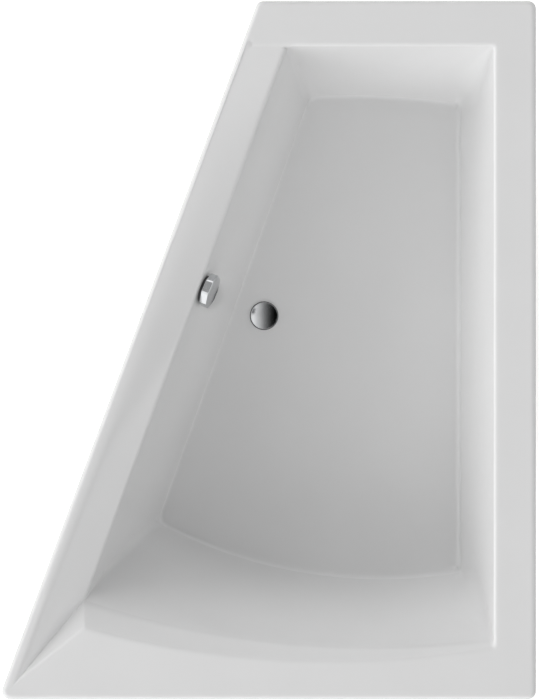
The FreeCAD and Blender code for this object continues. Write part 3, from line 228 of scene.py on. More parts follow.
def joinRings(rings, loop=False, caps=False):
    # ring i is a closed run of points; neighbours are joined by four-cornered faces, last to first too
    # for a loop, and as a cap a fan to its middle closes an end ring
    count, around = rings.shape[:2]
    points, fans = rings.reshape(-1, 3), np.empty((0, 3), int)
    number = np.arange(count * around).reshape(count, around)
    ahead = np.roll(number, -1, axis=1)
    quads = np.stack([number, ahead, np.roll(ahead, -1, axis=0), np.roll(number, -1, axis=0)], axis=-1)
    quads = quads[:count if loop else count - 1].reshape(-1, 4)
    for row, start, end in ((0, ahead, number), (-1, number, ahead)) if caps else ():
        middle = np.full(around, len(points))
        points = np.vstack([points, rings[row].mean(axis=0)])
        fans = np.vstack([fans, np.stack([start[row], end[row], middle], axis=-1)])
    return outward(points, quads, fans)


def outward(points, quads, fans):
    # a closed form whose signed volume comes out negative has its faces turned round
    corners = points[np.vstack([quads[:, :3], quads[:, [0, 2, 3]], fans])]
    volume = np.einsum("ij,ij->i", corners[:, 0], np.cross(corners[:, 1], corners[:, 2])).sum()
    return (points, quads, fans) if volume > 0 else (points, quads[:, ::-1], fans[:, ::-1])


def gathered(forms):
    # several closed forms in one mesh
    points, *faces = zip(*forms)
    starts = np.cumsum([0] + [len(run) for run in points[:-1]])
    quads, fans = (np.vstack([run + start for run, start in zip(kind, starts)]) for kind in faces)
    return np.vstack(points), quads, fans


def putPiece(name, form, nodes, crease=40.0):
    # the form, in millimetres, becomes a piece that stands for the nodes and rides on their body
    points, quads, fans = form
    mesh = bpy.data.meshes.new(name)
    mesh.from_pydata((points * mm).tolist(), [], quads.tolist() + fans.tolist())
    mesh.shade_smooth()
    mesh.set_sharp_from_angle(angle=math.radians(crease))
    mesh.materials.append(finishes[slotOf[nodes[0]]])
    piece = bpy.data.objects.new(name, mesh)
    bpy.context.scene.collection.objects.link(piece)
    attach(piece, bodyOf[nodes[0]])
    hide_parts(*nodes)


def softCorners(corners, radius, steps=4, closed=False):
    # every corner of a run is cut back by the radius on both sides, or by 0.45 of a short side, and
    # bridged by a parabola
    corners = np.asarray(corners, float)
    before, after = np.roll(corners, 1, axis=0) - corners, np.roll(corners, -1, axis=0) - corners
    lengths = [np.maximum(np.linalg.norm(way, axis=1, keepdims=True), 1e-9) for way in (before, after)]
    cut = np.minimum(radius, 0.45 * np.minimum(*lengths))
    start, end = corners + before / lengths[0] * cut, corners + after / lengths[1] * cut
    if not closed:
        start[[0, -1]] = end[[0, -1]] = corners[[0, -1]]
    share = np.linspace(0, 1, steps)[None, :, None]
    run = (1 - share) ** 2 * start[:, None] + 2 * share * (1 - share) * corners[:, None]
    run = (run + share ** 2 * end[:, None]).reshape(-1, 2)
    return run if closed else run[steps - 1:len(run) - steps + 1]


def fullTurn(count):
    return np.linspace(0, 2 * np.pi, count, endpoint=False)


def ringsAround(place, axis, side, angle, radius, height):
    # points at a radius and an angle from the side round an axis, each ring at its height along the axis
    ring = side * np.cos(angle)[:, None] + np.cross(axis, side) * np.sin(angle)[:, None]
    return np.asarray(place) + radius[:, :, None] * ring + height[:, None, None] * axis


def turnedRings(profile, place, axis, around=72, ribs=None):
    # each (radius, height) of the profile is carried round the axis; ribs take the cube of a raised
    # cosine out of the widest part
    axis = unit(axis)
    side = unit(np.cross([0.0, 1.0, 0.0] if abs(axis[1]) < 0.9 else right, axis))
    angle = fullTurn(around)
    radius = np.repeat(profile[:, :1], around, axis=1)
    if ribs:
        wide = (radius > ribs["above"]) & (profile[:, 1:] < ribs.get("below", np.inf))
        radius = radius - wide * ribs["depth"] * (0.5 + 0.5 * np.cos(ribs["count"] * angle)) ** 3
    return ringsAround(place, axis, side, angle, radius, profile[:, 1])


def turned(corners, place, axis=up, soft=0.8, around=72, ribs=None):
    # a solid turned from a run that starts and ends near the axis
    rings = turnedRings(softCorners(corners, soft), place, axis, around, ribs)
    return joinRings(rings, caps=True)


def turnedTube(corners, place, axis=up, soft=0.5, around=72, ribs=None):
    # a ring or sleeve turned from a closed run
    profile = softCorners(corners, soft, closed=True)
    return joinRings(turnedRings(profile, place, axis, around, ribs), loop=True)


# bath shell: a height over the plan, on a grid that follows the rim, the lip, the floor's edge and the
# waste hole

bath = {
    "rimTop": 600.0, "floorTop": 160.0, "sheet": 5.0, "edgeRound": 10.0, "cornerRound": 20.0,
    "skirtFoot": 560.0, "skirtLip": 0.8, "innerFold": 2.0,
    "outline": [(-658.776, -850.0), (650.0, -850.0), (650.0, 850.0), (-26.56, 850.0)],   # sharp one first
    "stripFoot": (-40.42, 741.0), "stripTip": (-616.86, -809.0),
    "lipFoot": (42.8, 741.0), "lipCorner": (548.0, 741.0),
    "neckSlant": (-449.65, -675.0), "neckStraight": (548.0, -724.0), "neckLeast": 4.0,
    "dipSlant": (-449.65, -609.0), "dipStraight": (544.87, -706.0), "dip": 59.43, "dipEnd": 16.21,
    "floorFoot": (100.39, 621.0), "floorHead": (-272.61, -422.0),
    "floorFootStraight": (469.0, 603.0), "floorHeadStraight": (469.0, -544.0),
    "neckBow": 2250.0, "backBow": 1150.0, "footBow": 1800.0, "backSwell": 0.28, "reach": 80.0,
    "drain": (-11.996, 84.0), "drainHole": 26.0,
}
blend = {   # widths of the rounded joints between the faces
    "lip": (3.0, 8.0), "rim": 7.0, "neck": 4.0, "facet": 2.0, "crease": 2.0, "floor": 6.0,
    "cornerTop": 6.0, "cornerFoot": 26.0, "cornerOpens": 70.0,
    "straightTop": 10.0, "straightFoot": 20.0, "straightSwell": 44.0,
    "neckFrom": (545.0, -560.0), "neckOver": 60.0,   # where the rim's width passes into the neck's
}
rimTop, floorTop = bath["rimTop"], bath["floorTop"]
drainSpot = np.array([*bath["drain"], 0.0])


def at(name):
    return np.array(bath[name])


def bowCentre(start, end, radius):
    # centre of the circle through both ends that bows to the right of the way from start to end
    chord = end - start
    length = np.hypot(*chord)
    outside = np.array([chord[1], -chord[0]]) / length
    return (start + end) / 2 - outside * math.sqrt(radius ** 2 - (length / 2) ** 2)


def bowed(start, end, radius, share):
    # points at shares of the angle along that circle
    centre = bowCentre(start, end, radius)
    first, last = (math.atan2(*(spot - centre)[::-1]) for spot in (start, end))
    angle = first + ((last - first) % (2 * math.pi)) * share
    return centre + radius * np.stack([np.cos(angle), np.sin(angle)], axis=-1)


def bowHeight(x, start, end, radius, side):
    # y of that circle at each x
    centre = bowCentre(start, end, radius)
    return centre[1] + side * np.sqrt(radius ** 2 - (x - centre[0]) ** 2)


def crossed(first, second):
    return (first.conjugate() * second).imag


def patchShares(x, y, *corners, alongLimits=(-0.6, 1.7), acrossLimits=(-3.0, 6.0), steps=14):
    # shares along and across a four-cornered patch at each point, by Newton steps on its two-way linear
    # form, with points of the plan as complex numbers
    near0, near1, far0, far1 = (complex(*bath[name]) for name in corners)
    along, across, twist = near1 - near0, far0 - near0, near0 - near1 - far0 + far1
    s, t = np.full(x.shape, 0.5), np.full(x.shape, 0.5)
    for step in range(steps):
        miss = near0 + s * along + t * across + s * t * twist - (x + 1j * y)
        alongNow, acrossNow = along + t * twist, across + s * twist
        area = crossed(alongNow, acrossNow)
        s = np.clip(s - crossed(miss, acrossNow) / area, *alongLimits)
        t = np.clip(t - crossed(alongNow, miss) / area, *acrossLimits)
    return s, t


def nearSlant(x, y):
    # x, held to a short way past the floor's edge on the slanted side, beyond which the patches bend away
    head, way = at("floorHead"), at("floorFoot") - at("floorHead")
    return np.minimum(x, head[0] + (y - head[1]) * way[0] / way[1] + bath["reach"])


def twistedRim(x, y):
    # falls by the dip times the share along the side times the share across the rim
    s, t = patchShares(nearSlant(x, y), y, "stripFoot", "stripTip", "lipFoot", "dipSlant")
    return rimTop - bath["dip"] * s * t


def slantedWall(x, y):
    # from the twisted rim's lower edge down to the floor, both straight
    s, t = patchShares(nearSlant(x, y), y, "lipFoot", "dipSlant", "floorFoot", "floorHead")
    return rimTop - bath["dip"] * s * (1 - t) - (rimTop - floorTop) * t


def cornerFacet(x, y):
    # plane through the tip of the strip, the neck corner and the dipped corner
    neck, run = at("neckSlant"), at("neckSlant") - at("stripTip")
    slopeY = -bath["dip"] / (at("dipSlant") - neck)[1]
    slopeX = -slopeY * run[1] / run[0]
    return rimTop + slopeY * (y - neck[1]) + slopeX * (x - neck[0])


def neckLines(x):
    # upper and lower neck line at each x, and how far the lower one lies below the rim
    high = bowHeight(x, at("neckSlant"), at("neckStraight"), bath["neckBow"], -1)
    low = bowHeight(x, at("dipSlant"), at("dipStraight"), bath["neckBow"], -1)
    share = (x - at("dipSlant")[0]) / (at("dipStraight") - at("dipSlant"))[0]
    return high, low, mixed(bath["dip"], bath["dipEnd"], share)


def neckBand(x, y):
    # straight from the upper neck line down to the lower one
    high, low, dip = neckLines(x)
    return rimTop - dip * (y - high) / np.maximum(low - high, bath["neckLeast"])


def backrest(x, y):
    # from the floor's head arc up to the lower neck line, steeper at the foot of the rest than at its top
    low, dip = neckLines(x)[1:]
    floor = bowHeight(x, at("floorHead"), at("floorHeadStraight"), bath["backBow"], -1)
    share = (floor - y) / (floor - low)
    share = share + bath["backSwell"] * np.clip(share, 0, 1) * (1 - np.clip(share, 0, 1))
    return mixed(floorTop, rimTop - dip, share)


def footWall(x, y):
    # straight up from the floor's foot arc to the lip
    floor = bowHeight(x, at("floorFootStraight"), at("floorFoot"), bath["footBow"], 1)
    return mixed(floorTop, rimTop, (y - floor) / (at("lipFoot")[1] - floor))


def straightWall(x, y):
    # a plane from the floor's straight edge to the lip
    top, bottom = at("lipCorner")[0], at("floorFootStraight")[0]
    return mixed(floorTop, rimTop, (x - bottom) / (top - bottom)) + 0 * y


def softMax(a, b, width):
    # the greater of two distances, with a parabola of the given width where they are close
    near = np.clip(1 - np.abs(a - b) / width, 0, None)
    return np.maximum(a, b) + near ** 2 * width / 4


def softMin(a, b, width):
    return -softMax(-a, -b, width)


def slopes(height, x, y):
    # of a height over the plan, from a millimetre either way
    return (height(x + 1, y) - height(x - 1, y)) / 2, (height(x, y + 1) - height(x, y - 1)) / 2


def steepness(height, x, y):
    slopeX, slopeY = slopes(height, x, y)
    return np.sqrt(1 + slopeX ** 2 + slopeY ** 2)


bathWalls = [twistedRim, slantedWall, cornerFacet, neckBand, backrest, footWall, straightWall]


def bathHeight(x, y, halvings=34, margin=20.0):
    # a height above a wall, divided by the wall's steepness, is the distance from it; the open room of the
    # basin is the soft least of those distances, joined softly to the room above the rim, and its zero level
    # is found by halving
    walls = [(wall(x, y), steepness(wall, x, y)) for wall in bathWalls]
    low, high = np.full(x.shape, floorTop - margin), np.full(x.shape, rimTop + margin)
    (neckX, neckY), neckOver = blend["neckFrom"], blend["neckOver"]
    alongNeck = rising(neckY - y, neckOver) * rising(neckX - x, neckOver)
    rimWidth = mixed(blend["rim"], blend["neck"], alongNeck)
    opening = rising(x - bath["dipSlant"][0], blend["cornerOpens"])   # sharp under the facet
    lipStart, lipEnd = bath["neckSlant"][1], bath["lipFoot"][1]
    lipWidth = mixed(*blend["lip"], rising(y - lipStart, lipEnd - lipStart))
    for step in range(halvings):
        level = (low + high) / 2
        rim, slant, facet, neck, back, foot, straight = [(level - height) / steep for height, steep in walls]
        slantSide = softMax(rim, slant, lipWidth)
        headSide = softMax(softMax(facet, neck, blend["facet"]), back, blend["neck"])
        depth = rising(rimTop - level, rimTop - floorTop)
        cornerWidth = mixed(blend["cornerTop"], blend["cornerFoot"], depth)   # corners widen downwards
        swell = blend["straightSwell"] * (4 * depth * (1 - depth)) ** 2       # most at half depth
        straightWidth = mixed(blend["straightTop"], blend["straightFoot"], depth) + swell
        room = softMin(slantSide, headSide, mixed(blend["crease"], cornerWidth, opening))
        room = softMin(softMin(room, foot, cornerWidth), straight, straightWidth)
        room = softMin(room, level - floorTop, blend["floor"])
        room = softMax(room, level - rimTop, rimWidth)
        low, high = np.where(room < 0, level, low), np.where(room < 0, high, level)
    return (low + high) / 2


grid = {
    "columns": {"head": (116, 0.8), "straight": (116, 0.8), "foot": (64, 0.8), "slant": (128, 0.8),
                "facet": (40, 0.6)},   # how many, and how much they crowd towards the ends
    "facetShare": 0.16,   # share of the head side's outline that the facet's columns take
    "rimRows": (14, 0.5), "lipRows": (24, 0.6), "wallRows": (44, 0.6), "floorRows": (22, 0.7), "edgeRows": 7,
    "skirtRows": (575.0, 588.0), "underFrom": 3, "underStep": 2,
    "cornerPull": 5.0, "dipAhead": 0.005, "floorAhead": 0.022, "lipInset": 9.0, "lipFootInset": 3.15,
}


def shares(count, pull):
    # shares from 0 up to 1 that crowd towards both ends
    step = np.arange(count) / count
    return step - pull * np.sin(2 * np.pi * step) / (2 * np.pi)


alongShare = {side: shares(*columns) for side, columns in grid["columns"].items()}


def outlineLoop():
    # rounded trapezoid: corner centres joined by straight runs, plus the radius along the outward direction
    corners, radius, split = at("outline"), bath["cornerRound"], grid["facetShare"]
    ways = unit(np.roll(corners, -1, axis=0) - corners)
    outs = np.stack([ways[:, 1], -ways[:, 0]], axis=1)
    centres = np.stack([corner + np.linalg.solve(np.stack([outs[i - 1], outs[i]]), [-radius, -radius])
                        for i, corner in enumerate(corners)])
    outAngles = np.arctan2(outs[:, 1], outs[:, 0])
    points, directions = [], []
    plan = [(0, split + (1 - split) * alongShare["head"]), (1, alongShare["straight"]),
            (2, alongShare["foot"]), (3, alongShare["slant"]), (0, split * alongShare["facet"])]
    for side, share in plan:
        after = (side + 1) % len(corners)
        startTurn = (outAngles[side] - outAngles[side - 1]) % (2 * np.pi) / 2
        endTurn = (outAngles[after] - outAngles[side]) % (2 * np.pi) / 2
        run = np.hypot(*(centres[after] - centres[side]))
        reach = share * (radius * (startTurn + endTurn) + run)
        first = np.clip(reach, 0, radius * startTurn)
        middle = np.clip(reach - radius * startTurn, 0, run)
        last = np.clip(reach - radius * startTurn - run, 0, None)
        angle = outAngles[side] - startTurn + (first + last) / radius
        directions.append(np.stack([np.cos(angle), np.sin(angle)], axis=1))
        points.append(mixed(centres[side], centres[after], (middle / run)[:, None]) + radius * directions[-1])
    return np.vstack(points), np.vstack(directions)


def planLoop(corners, bows):
    # five sides in turn, counter-clockwise, each from its corner to the next, straight or along a circle
    ends = corners[1:] + corners[:1]
    runs = [bowed(start, end, bath[bows[side]], share) if side in bows else mixed(start, end, share[:, None])
            for (side, share), start, end in zip(alongShare.items(), corners, ends)]
    return np.vstack(runs)


def towards(start, end, length):
    return start + unit(end - start) * length


def rimLine():
    # the inner edge of the level rim
    corners = [at(name) for name in ("neckSlant", "neckStraight", "lipCorner", "stripFoot", "stripTip")]
    return planLoop(corners, {"head": "neckBow"})


def lipLine():
    # a little inside the lip, and drawn together at the dipped corner
    inset, dip, foot = grid["lipInset"], at("dipSlant"), at("lipFoot")
    ahead = bowed(dip, at("dipStraight"), bath["neckBow"], grid["dipAhead"])
    corners = [ahead, at("dipStraight") + [-inset, inset], at("lipCorner") - inset,
               foot + [grid["lipFootInset"], -inset], towards(dip, foot, grid["cornerPull"])]
    return planLoop(corners, {"head": "neckBow"})


def floorLine():
    # the floor's edge, drawn together at its head corner on the slanted side
    head, straight, foot = at("floorHead"), at("floorHeadStraight"), at("floorFoot")
    ahead = bowed(head, straight, bath["backBow"], grid["floorAhead"])
    corners = [ahead, straight, at("floorFootStraight"), foot, towards(head, foot, grid["cornerPull"])]
    return planLoop(corners, {"head": "backBow", "foot": "footBow"})


outline, outlineWay = outlineLoop()
rimLoop, lipLoop, floorLoop = rimLine(), lipLine(), floorLine()


def circleLoop(radius):
    # the waste circle, each point in the direction of its column's floor point
    return at("drain") + radius * unit(floorLoop - at("drain"))


def between(start, end, share):
    return mixed(start, end, share[:, None, None])


def sheetNormals(rings):
    # upward normals from the slopes of the height
    slopeX, slopeY = slopes(bathHeight, rings[:, :, 0], rings[:, :, 1])
    return unit(np.stack([-slopeX, -slopeY, np.ones_like(slopeX)], axis=2))


def rowsAfter(rows):
    # shares of the rows of one stretch, without its start and up to its end
    return np.append(shares(*rows)[1:], 1.0)


def planRings(hole):
    # plan of the top sheet from the outline's edge round to the waste hole
    loops = [outline - outlineWay * bath["edgeRound"], rimLoop, lipLoop, floorLoop, circleLoop(hole)]
    rows = [rowsAfter(grid[name]) for name in ("rimRows", "lipRows", "wallRows", "floorRows")]
    return np.vstack([between(*stretch) for stretch in zip(loops, loops[1:], rows)])


def lifted(plan):
    return np.concatenate([plan, bathHeight(plan[:, :, 0], plan[:, :, 1])[:, :, None]], axis=2)


def levelRing(inset, height):
    plan = outline - outlineWay * inset
    return np.concatenate([plan, np.full((len(plan), 1), height)], axis=1)


def bathShell():
    # one closed loop of rings: up the skirt, round the edge's quarter circle, over the top sheet to the waste
    # hole, back under it a sheet's thickness below, and down inside the skirt
    rim, foot, sheet, lip = (bath[name] for name in ("rimTop", "skirtFoot", "sheet", "skirtLip"))
    edge, fold = bath["edgeRound"], bath["innerFold"]
    top = lifted(planRings(bath["drainHole"]))
    outer = [levelRing(lip, foot)] + [levelRing(0, height) for height in (foot + lip, *grid["skirtRows"])]
    outer += [levelRing(edge * (1 - math.cos(turn)), rim - edge * (1 - math.sin(turn)))
              for turn in np.linspace(0, math.pi / 2, grid["edgeRows"])]
    fewer = top[grid["underFrom"]::grid["underStep"]]
    under = np.concatenate([fewer - sheetNormals(fewer) * sheet, top[-1:] - sheet * up])[::-1]
    inner = [levelRing(sheet + fold, rim - sheet), levelRing(sheet, rim - sheet - fold),
             levelRing(sheet, foot + lip), levelRing(sheet - lip, foot)]
    return joinRings(np.concatenate([np.stack(outer), top, under, np.stack(inner)]), loop=True)


shellForm = bathShell()
putPiece("bathShell", shellForm, ["acrylic_shell"], crease=50.0)
print("bath shell:", len(shellForm[0]), "points")


# glass-fibre backing: the same walls, moved out, from its top edge down to the opening round the waste

backing = {
    "top": 500.0, "inner": 5.0, "outer": 9.0, "opening": 50.0, "wallRows": (40, 0.6), "floorRows": (22, 0.7),
    "lump": 0.9, "lumpFrom": 175.0, "lumpOver": 30.0, "waveX": 31.0, "waveY": 37.0,
    "bendX": (2.0, 47.0), "bendY": (1.7, 29.0),   # how far, and over what height, the waves wander
}


def backingStart(halvings=24):
    # plan of the line on the walls at which the backing starts: below its top edge, clear of the overflow
    low, high = np.zeros(len(lipLoop)), np.ones(len(lipLoop))
    for step in range(halvings):
        share = (low + high) / 2
        plan = mixed(lipLoop, floorLoop, share[:, None])
        height = bathHeight(plan[:, 0], plan[:, 1])
        away = np.linalg.norm(np.column_stack([plan, height]) - overflowSpot, axis=1)
        bare = (height > backing["top"]) | (away < backing["opening"])
        low, high = np.where(bare, share, low), np.where(bare, high, share)
    return mixed(lipLoop, floorLoop, high[:, None])


def resinLumps(x, y, z):
    # a sine of x times a sine of y, each shifted by a sine of the height, fading out over the floor
    (farX, overX), (farY, overY) = backing["bendX"], backing["bendY"]
    waveX = np.sin(x / backing["waveX"] + farX * np.sin(z / overX))
    waveY = np.sin(y / backing["waveY"] + farY * np.sin(z / overY))
    return backing["lump"] * waveX * waveY * rising(z - backing["lumpFrom"], backing["lumpOver"])


def backingSkin():
    # walls and floor moved out by the inner and by the outer distance, with the lumps on the outer face
    walls = between(backingStart(), floorLoop, shares(*backing["wallRows"]))
    floor = between(floorLoop, circleLoop(backing["opening"]), rowsAfter(backing["floorRows"]))
    face = lifted(np.vstack([walls, floor]))
    normal = sheetNormals(face)
    lump = resinLumps(*np.moveaxis(face, 2, 0))
    inner = face - normal * backing["inner"]
    outer = face - normal * (backing["outer"] + lump[:, :, None])
    return joinRings(np.concatenate([inner, outer[::-1]]), loop=True)


putPiece("resinBacking", backingSkin(), ["fibreglass_backing"], crease=60.0)
print("backing done")


# waste cap and turn knob

waste = {"radius": 32.5, "under": 164.4, "edge": 1.6, "crown": 169.2, "boss": 18.0, "bossFoot": 155.4,
         "core": 0.02, "rows": 18, "around": 96, "soft": 0.6}


def wasteCap():
    # a shallow dome, falling by a parabola from the crown to the edge, then the underside and the boss
    out = np.linspace(waste["core"], 1, waste["rows"])
    fall = waste["crown"] - waste["under"] - waste["edge"]
    dome = np.stack([waste["radius"] * out, waste["crown"] - fall * out ** 2], axis=1)
    edge = softCorners([dome[-1], (waste["radius"], waste["under"]), (waste["boss"], waste["under"]),
                        (waste["boss"], waste["bossFoot"]), (1.0, waste["bossFoot"])], waste["soft"])
    rings = turnedRings(np.vstack([dome, edge]), drainSpot, up, waste["around"])
    return joinRings(rings, caps=True)


putPiece("wasteCap", wasteCap(), ["plug_cap"], crease=50.0)

knob = {"back": 7.8, "shoulder": 25.6, "front": 28.0, "across": 80.0, "frontAcross": 68.0, "core": 2.0,
        "facets": 8, "turn": 35.0, "trim": 1.06, "chamfer": 1.0, "flat": 0.3, "corner": (0.4, 0.5)}


def flatted(count, local, turn=0.0):
    # angles round a form of several flats, and 1 over the cosine of the angle from each flat's middle
    step = 2 * np.pi / count
    angle = (np.arange(count)[:, None] * step + local * step).ravel() + math.radians(turn)
    return angle, np.tile(1 / np.cos(local * step), count)


def turnKnob():
    # eight flats: radius = half width over that cosine, trimmed at the corners
    corner, flat = np.linspace(*knob["corner"], 4), np.linspace(-knob["flat"], knob["flat"], 5)
    local = np.concatenate([-corner[::-1], flat, corner[:-1]])
    angle, shape = flatted(knob["facets"], local, knob["turn"])
    half, frontHalf, core = knob["across"] / 2, knob["frontAcross"] / 2, knob["core"]
    back, front, chamfer = knob["back"], knob["front"], knob["chamfer"]
    run = softCorners([(core, back), (half - chamfer, back), (half, back + chamfer), (half, knob["shoulder"]),
                       (frontHalf, front), (core, front)], chamfer)
    radius = run[:, :1] * np.minimum(shape, knob["trim"])
    rings = ringsAround(overflowSpot, wallInward, wallLevel, angle, radius, run[:, 1])
    return joinRings(rings, caps=True)


putPiece("turnKnob", turnKnob(), ["overflow_knob"], crease=25.0)
print("cap and knob done")


# waste: flange with its spider, body, trap, outlet and the nuts between them

def lowered(spot, height):
    return np.array([spot[0], spot[1], height])


def bar(start, end, half, rise, edge=0.5):
    # a straight bar whose section is a rectangle with softened corners
    section = softCorners([(-half, -rise), (half, -rise), (half, rise), (-half, rise)], edge, 3, closed=True)
    ring = section[:, :1] * np.cross(up, unit(end - start)) + section[:, 1:] * up
    return joinRings(np.stack([start + ring, end + ring]), caps=True)


def barsAround(size):
    # level bars round the waste, spread evenly from the port's direction and moved on by a share of a step
    first = math.atan2(portWay[1], portWay[0])
    turns = first + (np.arange(size["count"]) + size["shift"]) * 2 * math.pi / size["count"]
    middle, start, end = lowered(drainSpot, size["level"]), size["start"], size["end"]
    ways = np.stack([np.cos(turns), np.sin(turns), 0 * turns], axis=1)
    return [bar(middle + start * way, middle + end * way, size["half"], size["rise"]) for way in ways]


flange = {
    "tube": [(22.0, 141.5), (25.5, 141.5), (25.5, 161.5), (33.2, 161.5), (33.2, 163.0), (32.7, 163.7),
             (27.0, 164.0), (22.0, 159.0)],
    # the seal reaches out past the flange's edge, so its black rubber shows as a thin band round the flange:
    # a real part, and also painted shade that stands in for the dark gap round the cap
    "sealAndShadeBand": [(25.7, 160.0), (34.9, 160.0), (34.9, 161.0), (34.0, 161.5), (25.7, 161.5)],
    "hub": [(4.05, 147.5), (7.0, 147.5), (7.0, 153.5), (4.05, 153.5)],
    "spokes": {"count": 3, "shift": 0.0, "start": 6.0, "end": 23.7, "half": 2.0, "rise": 3.0, "level": 150.5},
}
flangeRings = [turnedTube(flange["tube"], drainSpot, around=96), turnedTube(flange["hub"], drainSpot)]
putPiece("wasteFlange", gathered(flangeRings + barsAround(flange["spokes"])), ["drain_flange"])
# the seal's black band round the flange is partly painted shade for the gap round the cap
putPiece("flangeSealAndShadeBand", turnedTube(flange["sealAndShadeBand"], drainSpot, soft=0.3), ["flange_seal"], crease=50.0)

wasteBody = {
    "case": [(17.0, 34.0), (20.0, 34.0), (20.0, 92.0), (36.0, 92.0), (36.0, 146.0), (42.0, 146.0),
             (42.0, 152.0), (25.6, 152.0), (25.6, 146.0), (32.0, 146.0), (32.0, 96.0), (17.0, 96.0)],
    "port": [(12.0, 33.0), (20.0, 33.0), (20.0, 36.5), (17.0, 39.5), (17.0, 64.0), (14.1, 64.0),
             (14.1, 46.0), (12.0, 46.0)],
    "portLevel": 128.0,
    "webs": {"count": 8, "shift": 0.5, "start": 35.0, "end": 40.0, "half": 1.0, "rise": 11.5, "level": 135.0},
}
portSpot = lowered(drainSpot, wasteBody["portLevel"])
wasteCase = turnedTube(wasteBody["case"], drainSpot, soft=1.4, around=96)
wastePort = turnedTube(wasteBody["port"], portSpot, portWay)
putPiece("wasteCase", gathered([wasteCase, wastePort] + barsAround(wasteBody["webs"])), ["drain_body"])

trap = {
    "pot": [(1.0, 25.0), (54.0, 25.0), (54.0, 98.0), (40.1, 98.0), (40.1, 104.0), (36.2, 104.0), (36.2, 95.0),
            (51.0, 95.0), (51.0, 28.0), (1.0, 28.0)],
    "potGrip": {"count": 36, "depth": 1.1, "above": 53.0, "below": 46.0},
    "socket": [(17.5, 46.0), (29.0, 46.0), (29.0, 55.0), (24.1, 60.0), (24.1, 84.0), (19.6, 84.0),
               (19.6, 64.0), (17.5, 64.0)],
    "potNut": [(40.2, 98.0), (46.2, 98.0), (46.2, 109.0), (36.1, 109.0), (36.1, 105.5), (40.2, 105.5)],
    "potNutGrip": {"count": 24, "depth": 1.6, "above": 45.0},
    "outletNut": [(19.6, 0.0), (30.2, 0.0), (30.2, -18.0), (24.2, -18.0), (24.2, -3.0), (19.6, -3.0)],
    "outletNutGrip": {"count": 18, "depth": 1.6, "above": 29.0},
    "outletPipe": [(17.5, -24.5), (19.5, -24.5), (19.5, 0.0), (20.0, 0.0), (20.0, 79.0), (19.2, 80.0),
                   (17.5, 80.0)],
    "outletLevel": 72.0, "nutEnd": 88.5,
}
outletLine = lowered(drainSpot, trap["outletLevel"])
outletSpot = outletLine + trap["nutEnd"] * outletWay
trapPot = turned(trap["pot"], drainSpot, soft=4.0, around=144, ribs=trap["potGrip"])
trapSocket = turnedTube(trap["socket"], outletLine, outletWay, soft=1.2)
trapNut = turnedTube(trap["potNut"], drainSpot, soft=1.0, around=192, ribs=trap["potNutGrip"])
outletNut = turnedTube(trap["outletNut"], outletSpot, outletWay, 1.0, 144, trap["outletNutGrip"])
putPiece("trapPot", gathered([trapPot, trapSocket]), ["trap_pot"])
putPiece("trapNut", trapNut, ["trap_nut"])
putPiece("outletNut", outletNut, ["outlet_nut"])
putPiece("outletPipe", turnedTube(trap["outletPipe"], outletSpot, outletWay, soft=0.4), ["outlet_pipe"])
print("waste and trap done")


# overflow: elbow, hose, nuts, drum cover and the cable glands

elbow = {
    "barrel": [(1.0, -58.0), (27.0, -58.0), (27.0, -13.0), (37.0, -13.0), (37.0, -9.0), (24.0, -9.0),
               (24.0, -54.0), (1.0, -54.0)],
    "drop": [(12.0, 8.0), (20.5, 8.0), (20.5, 27.0), (17.0, 31.0), (17.0, 62.0), (14.1, 62.0),
             (14.1, 44.0), (12.0, 44.0)],
    "cover": [(1.0, -75.0), (16.0, -75.0), (16.0, -58.0), (14.0, -58.0), (14.0, -73.0), (1.0, -73.0)],
    "coverGrip": {"count": 12, "depth": 0.7, "above": 15.5},
    "nut": [(14.1, 3.0), (20.5, 3.0), (20.5, -12.0), (17.1, -12.0), (17.1, 0.0), (14.1, 0.0)],
    "nutGrip": {"count": 16, "depth": 1.4, "above": 19.5},
    "behind": 32.0, "dropEnd": 62.0, "portEnd": 64.0,
}
elbowSpot = overflowSpot - elbow["behind"] * wallInward
barrel = turned(elbow["barrel"], overflowSpot, wallInward, 1.2, 96)
putPiece("overflowElbow", gathered([barrel, turnedTube(elbow["drop"], elbowSpot, down)]), ["overflow_elbow"])
drumCover = turned(elbow["cover"], overflowSpot, wallInward, 1.2, 96, elbow["coverGrip"])
putPiece("drumCover", drumCover, ["drum_cover"])
hoseNuts = {"upper": (elbowSpot + elbow["dropEnd"] * down, down),
            "lower": (portSpot + elbow["portEnd"] * portWay, portWay)}
for end, (spot, way) in hoseNuts.items():
    pipeNut = turnedTube(elbow["nut"], spot, way, 0.8, 128, elbow["nutGrip"])
    putPiece(end + "PipeNut", pipeNut, [end + "_pipe_nut"])

hose = {"radius": 14.0, "bore": 12.0, "bend": 60.0, "topDrop": 46.0, "endReach": 48.0, "cuff": 34.0,
        "cuffFade": 8.0, "pitch": 6.0, "wave": 1.5, "boreWave": 1.0,
        "rings": 560, "innerStep": 7, "around": 36}


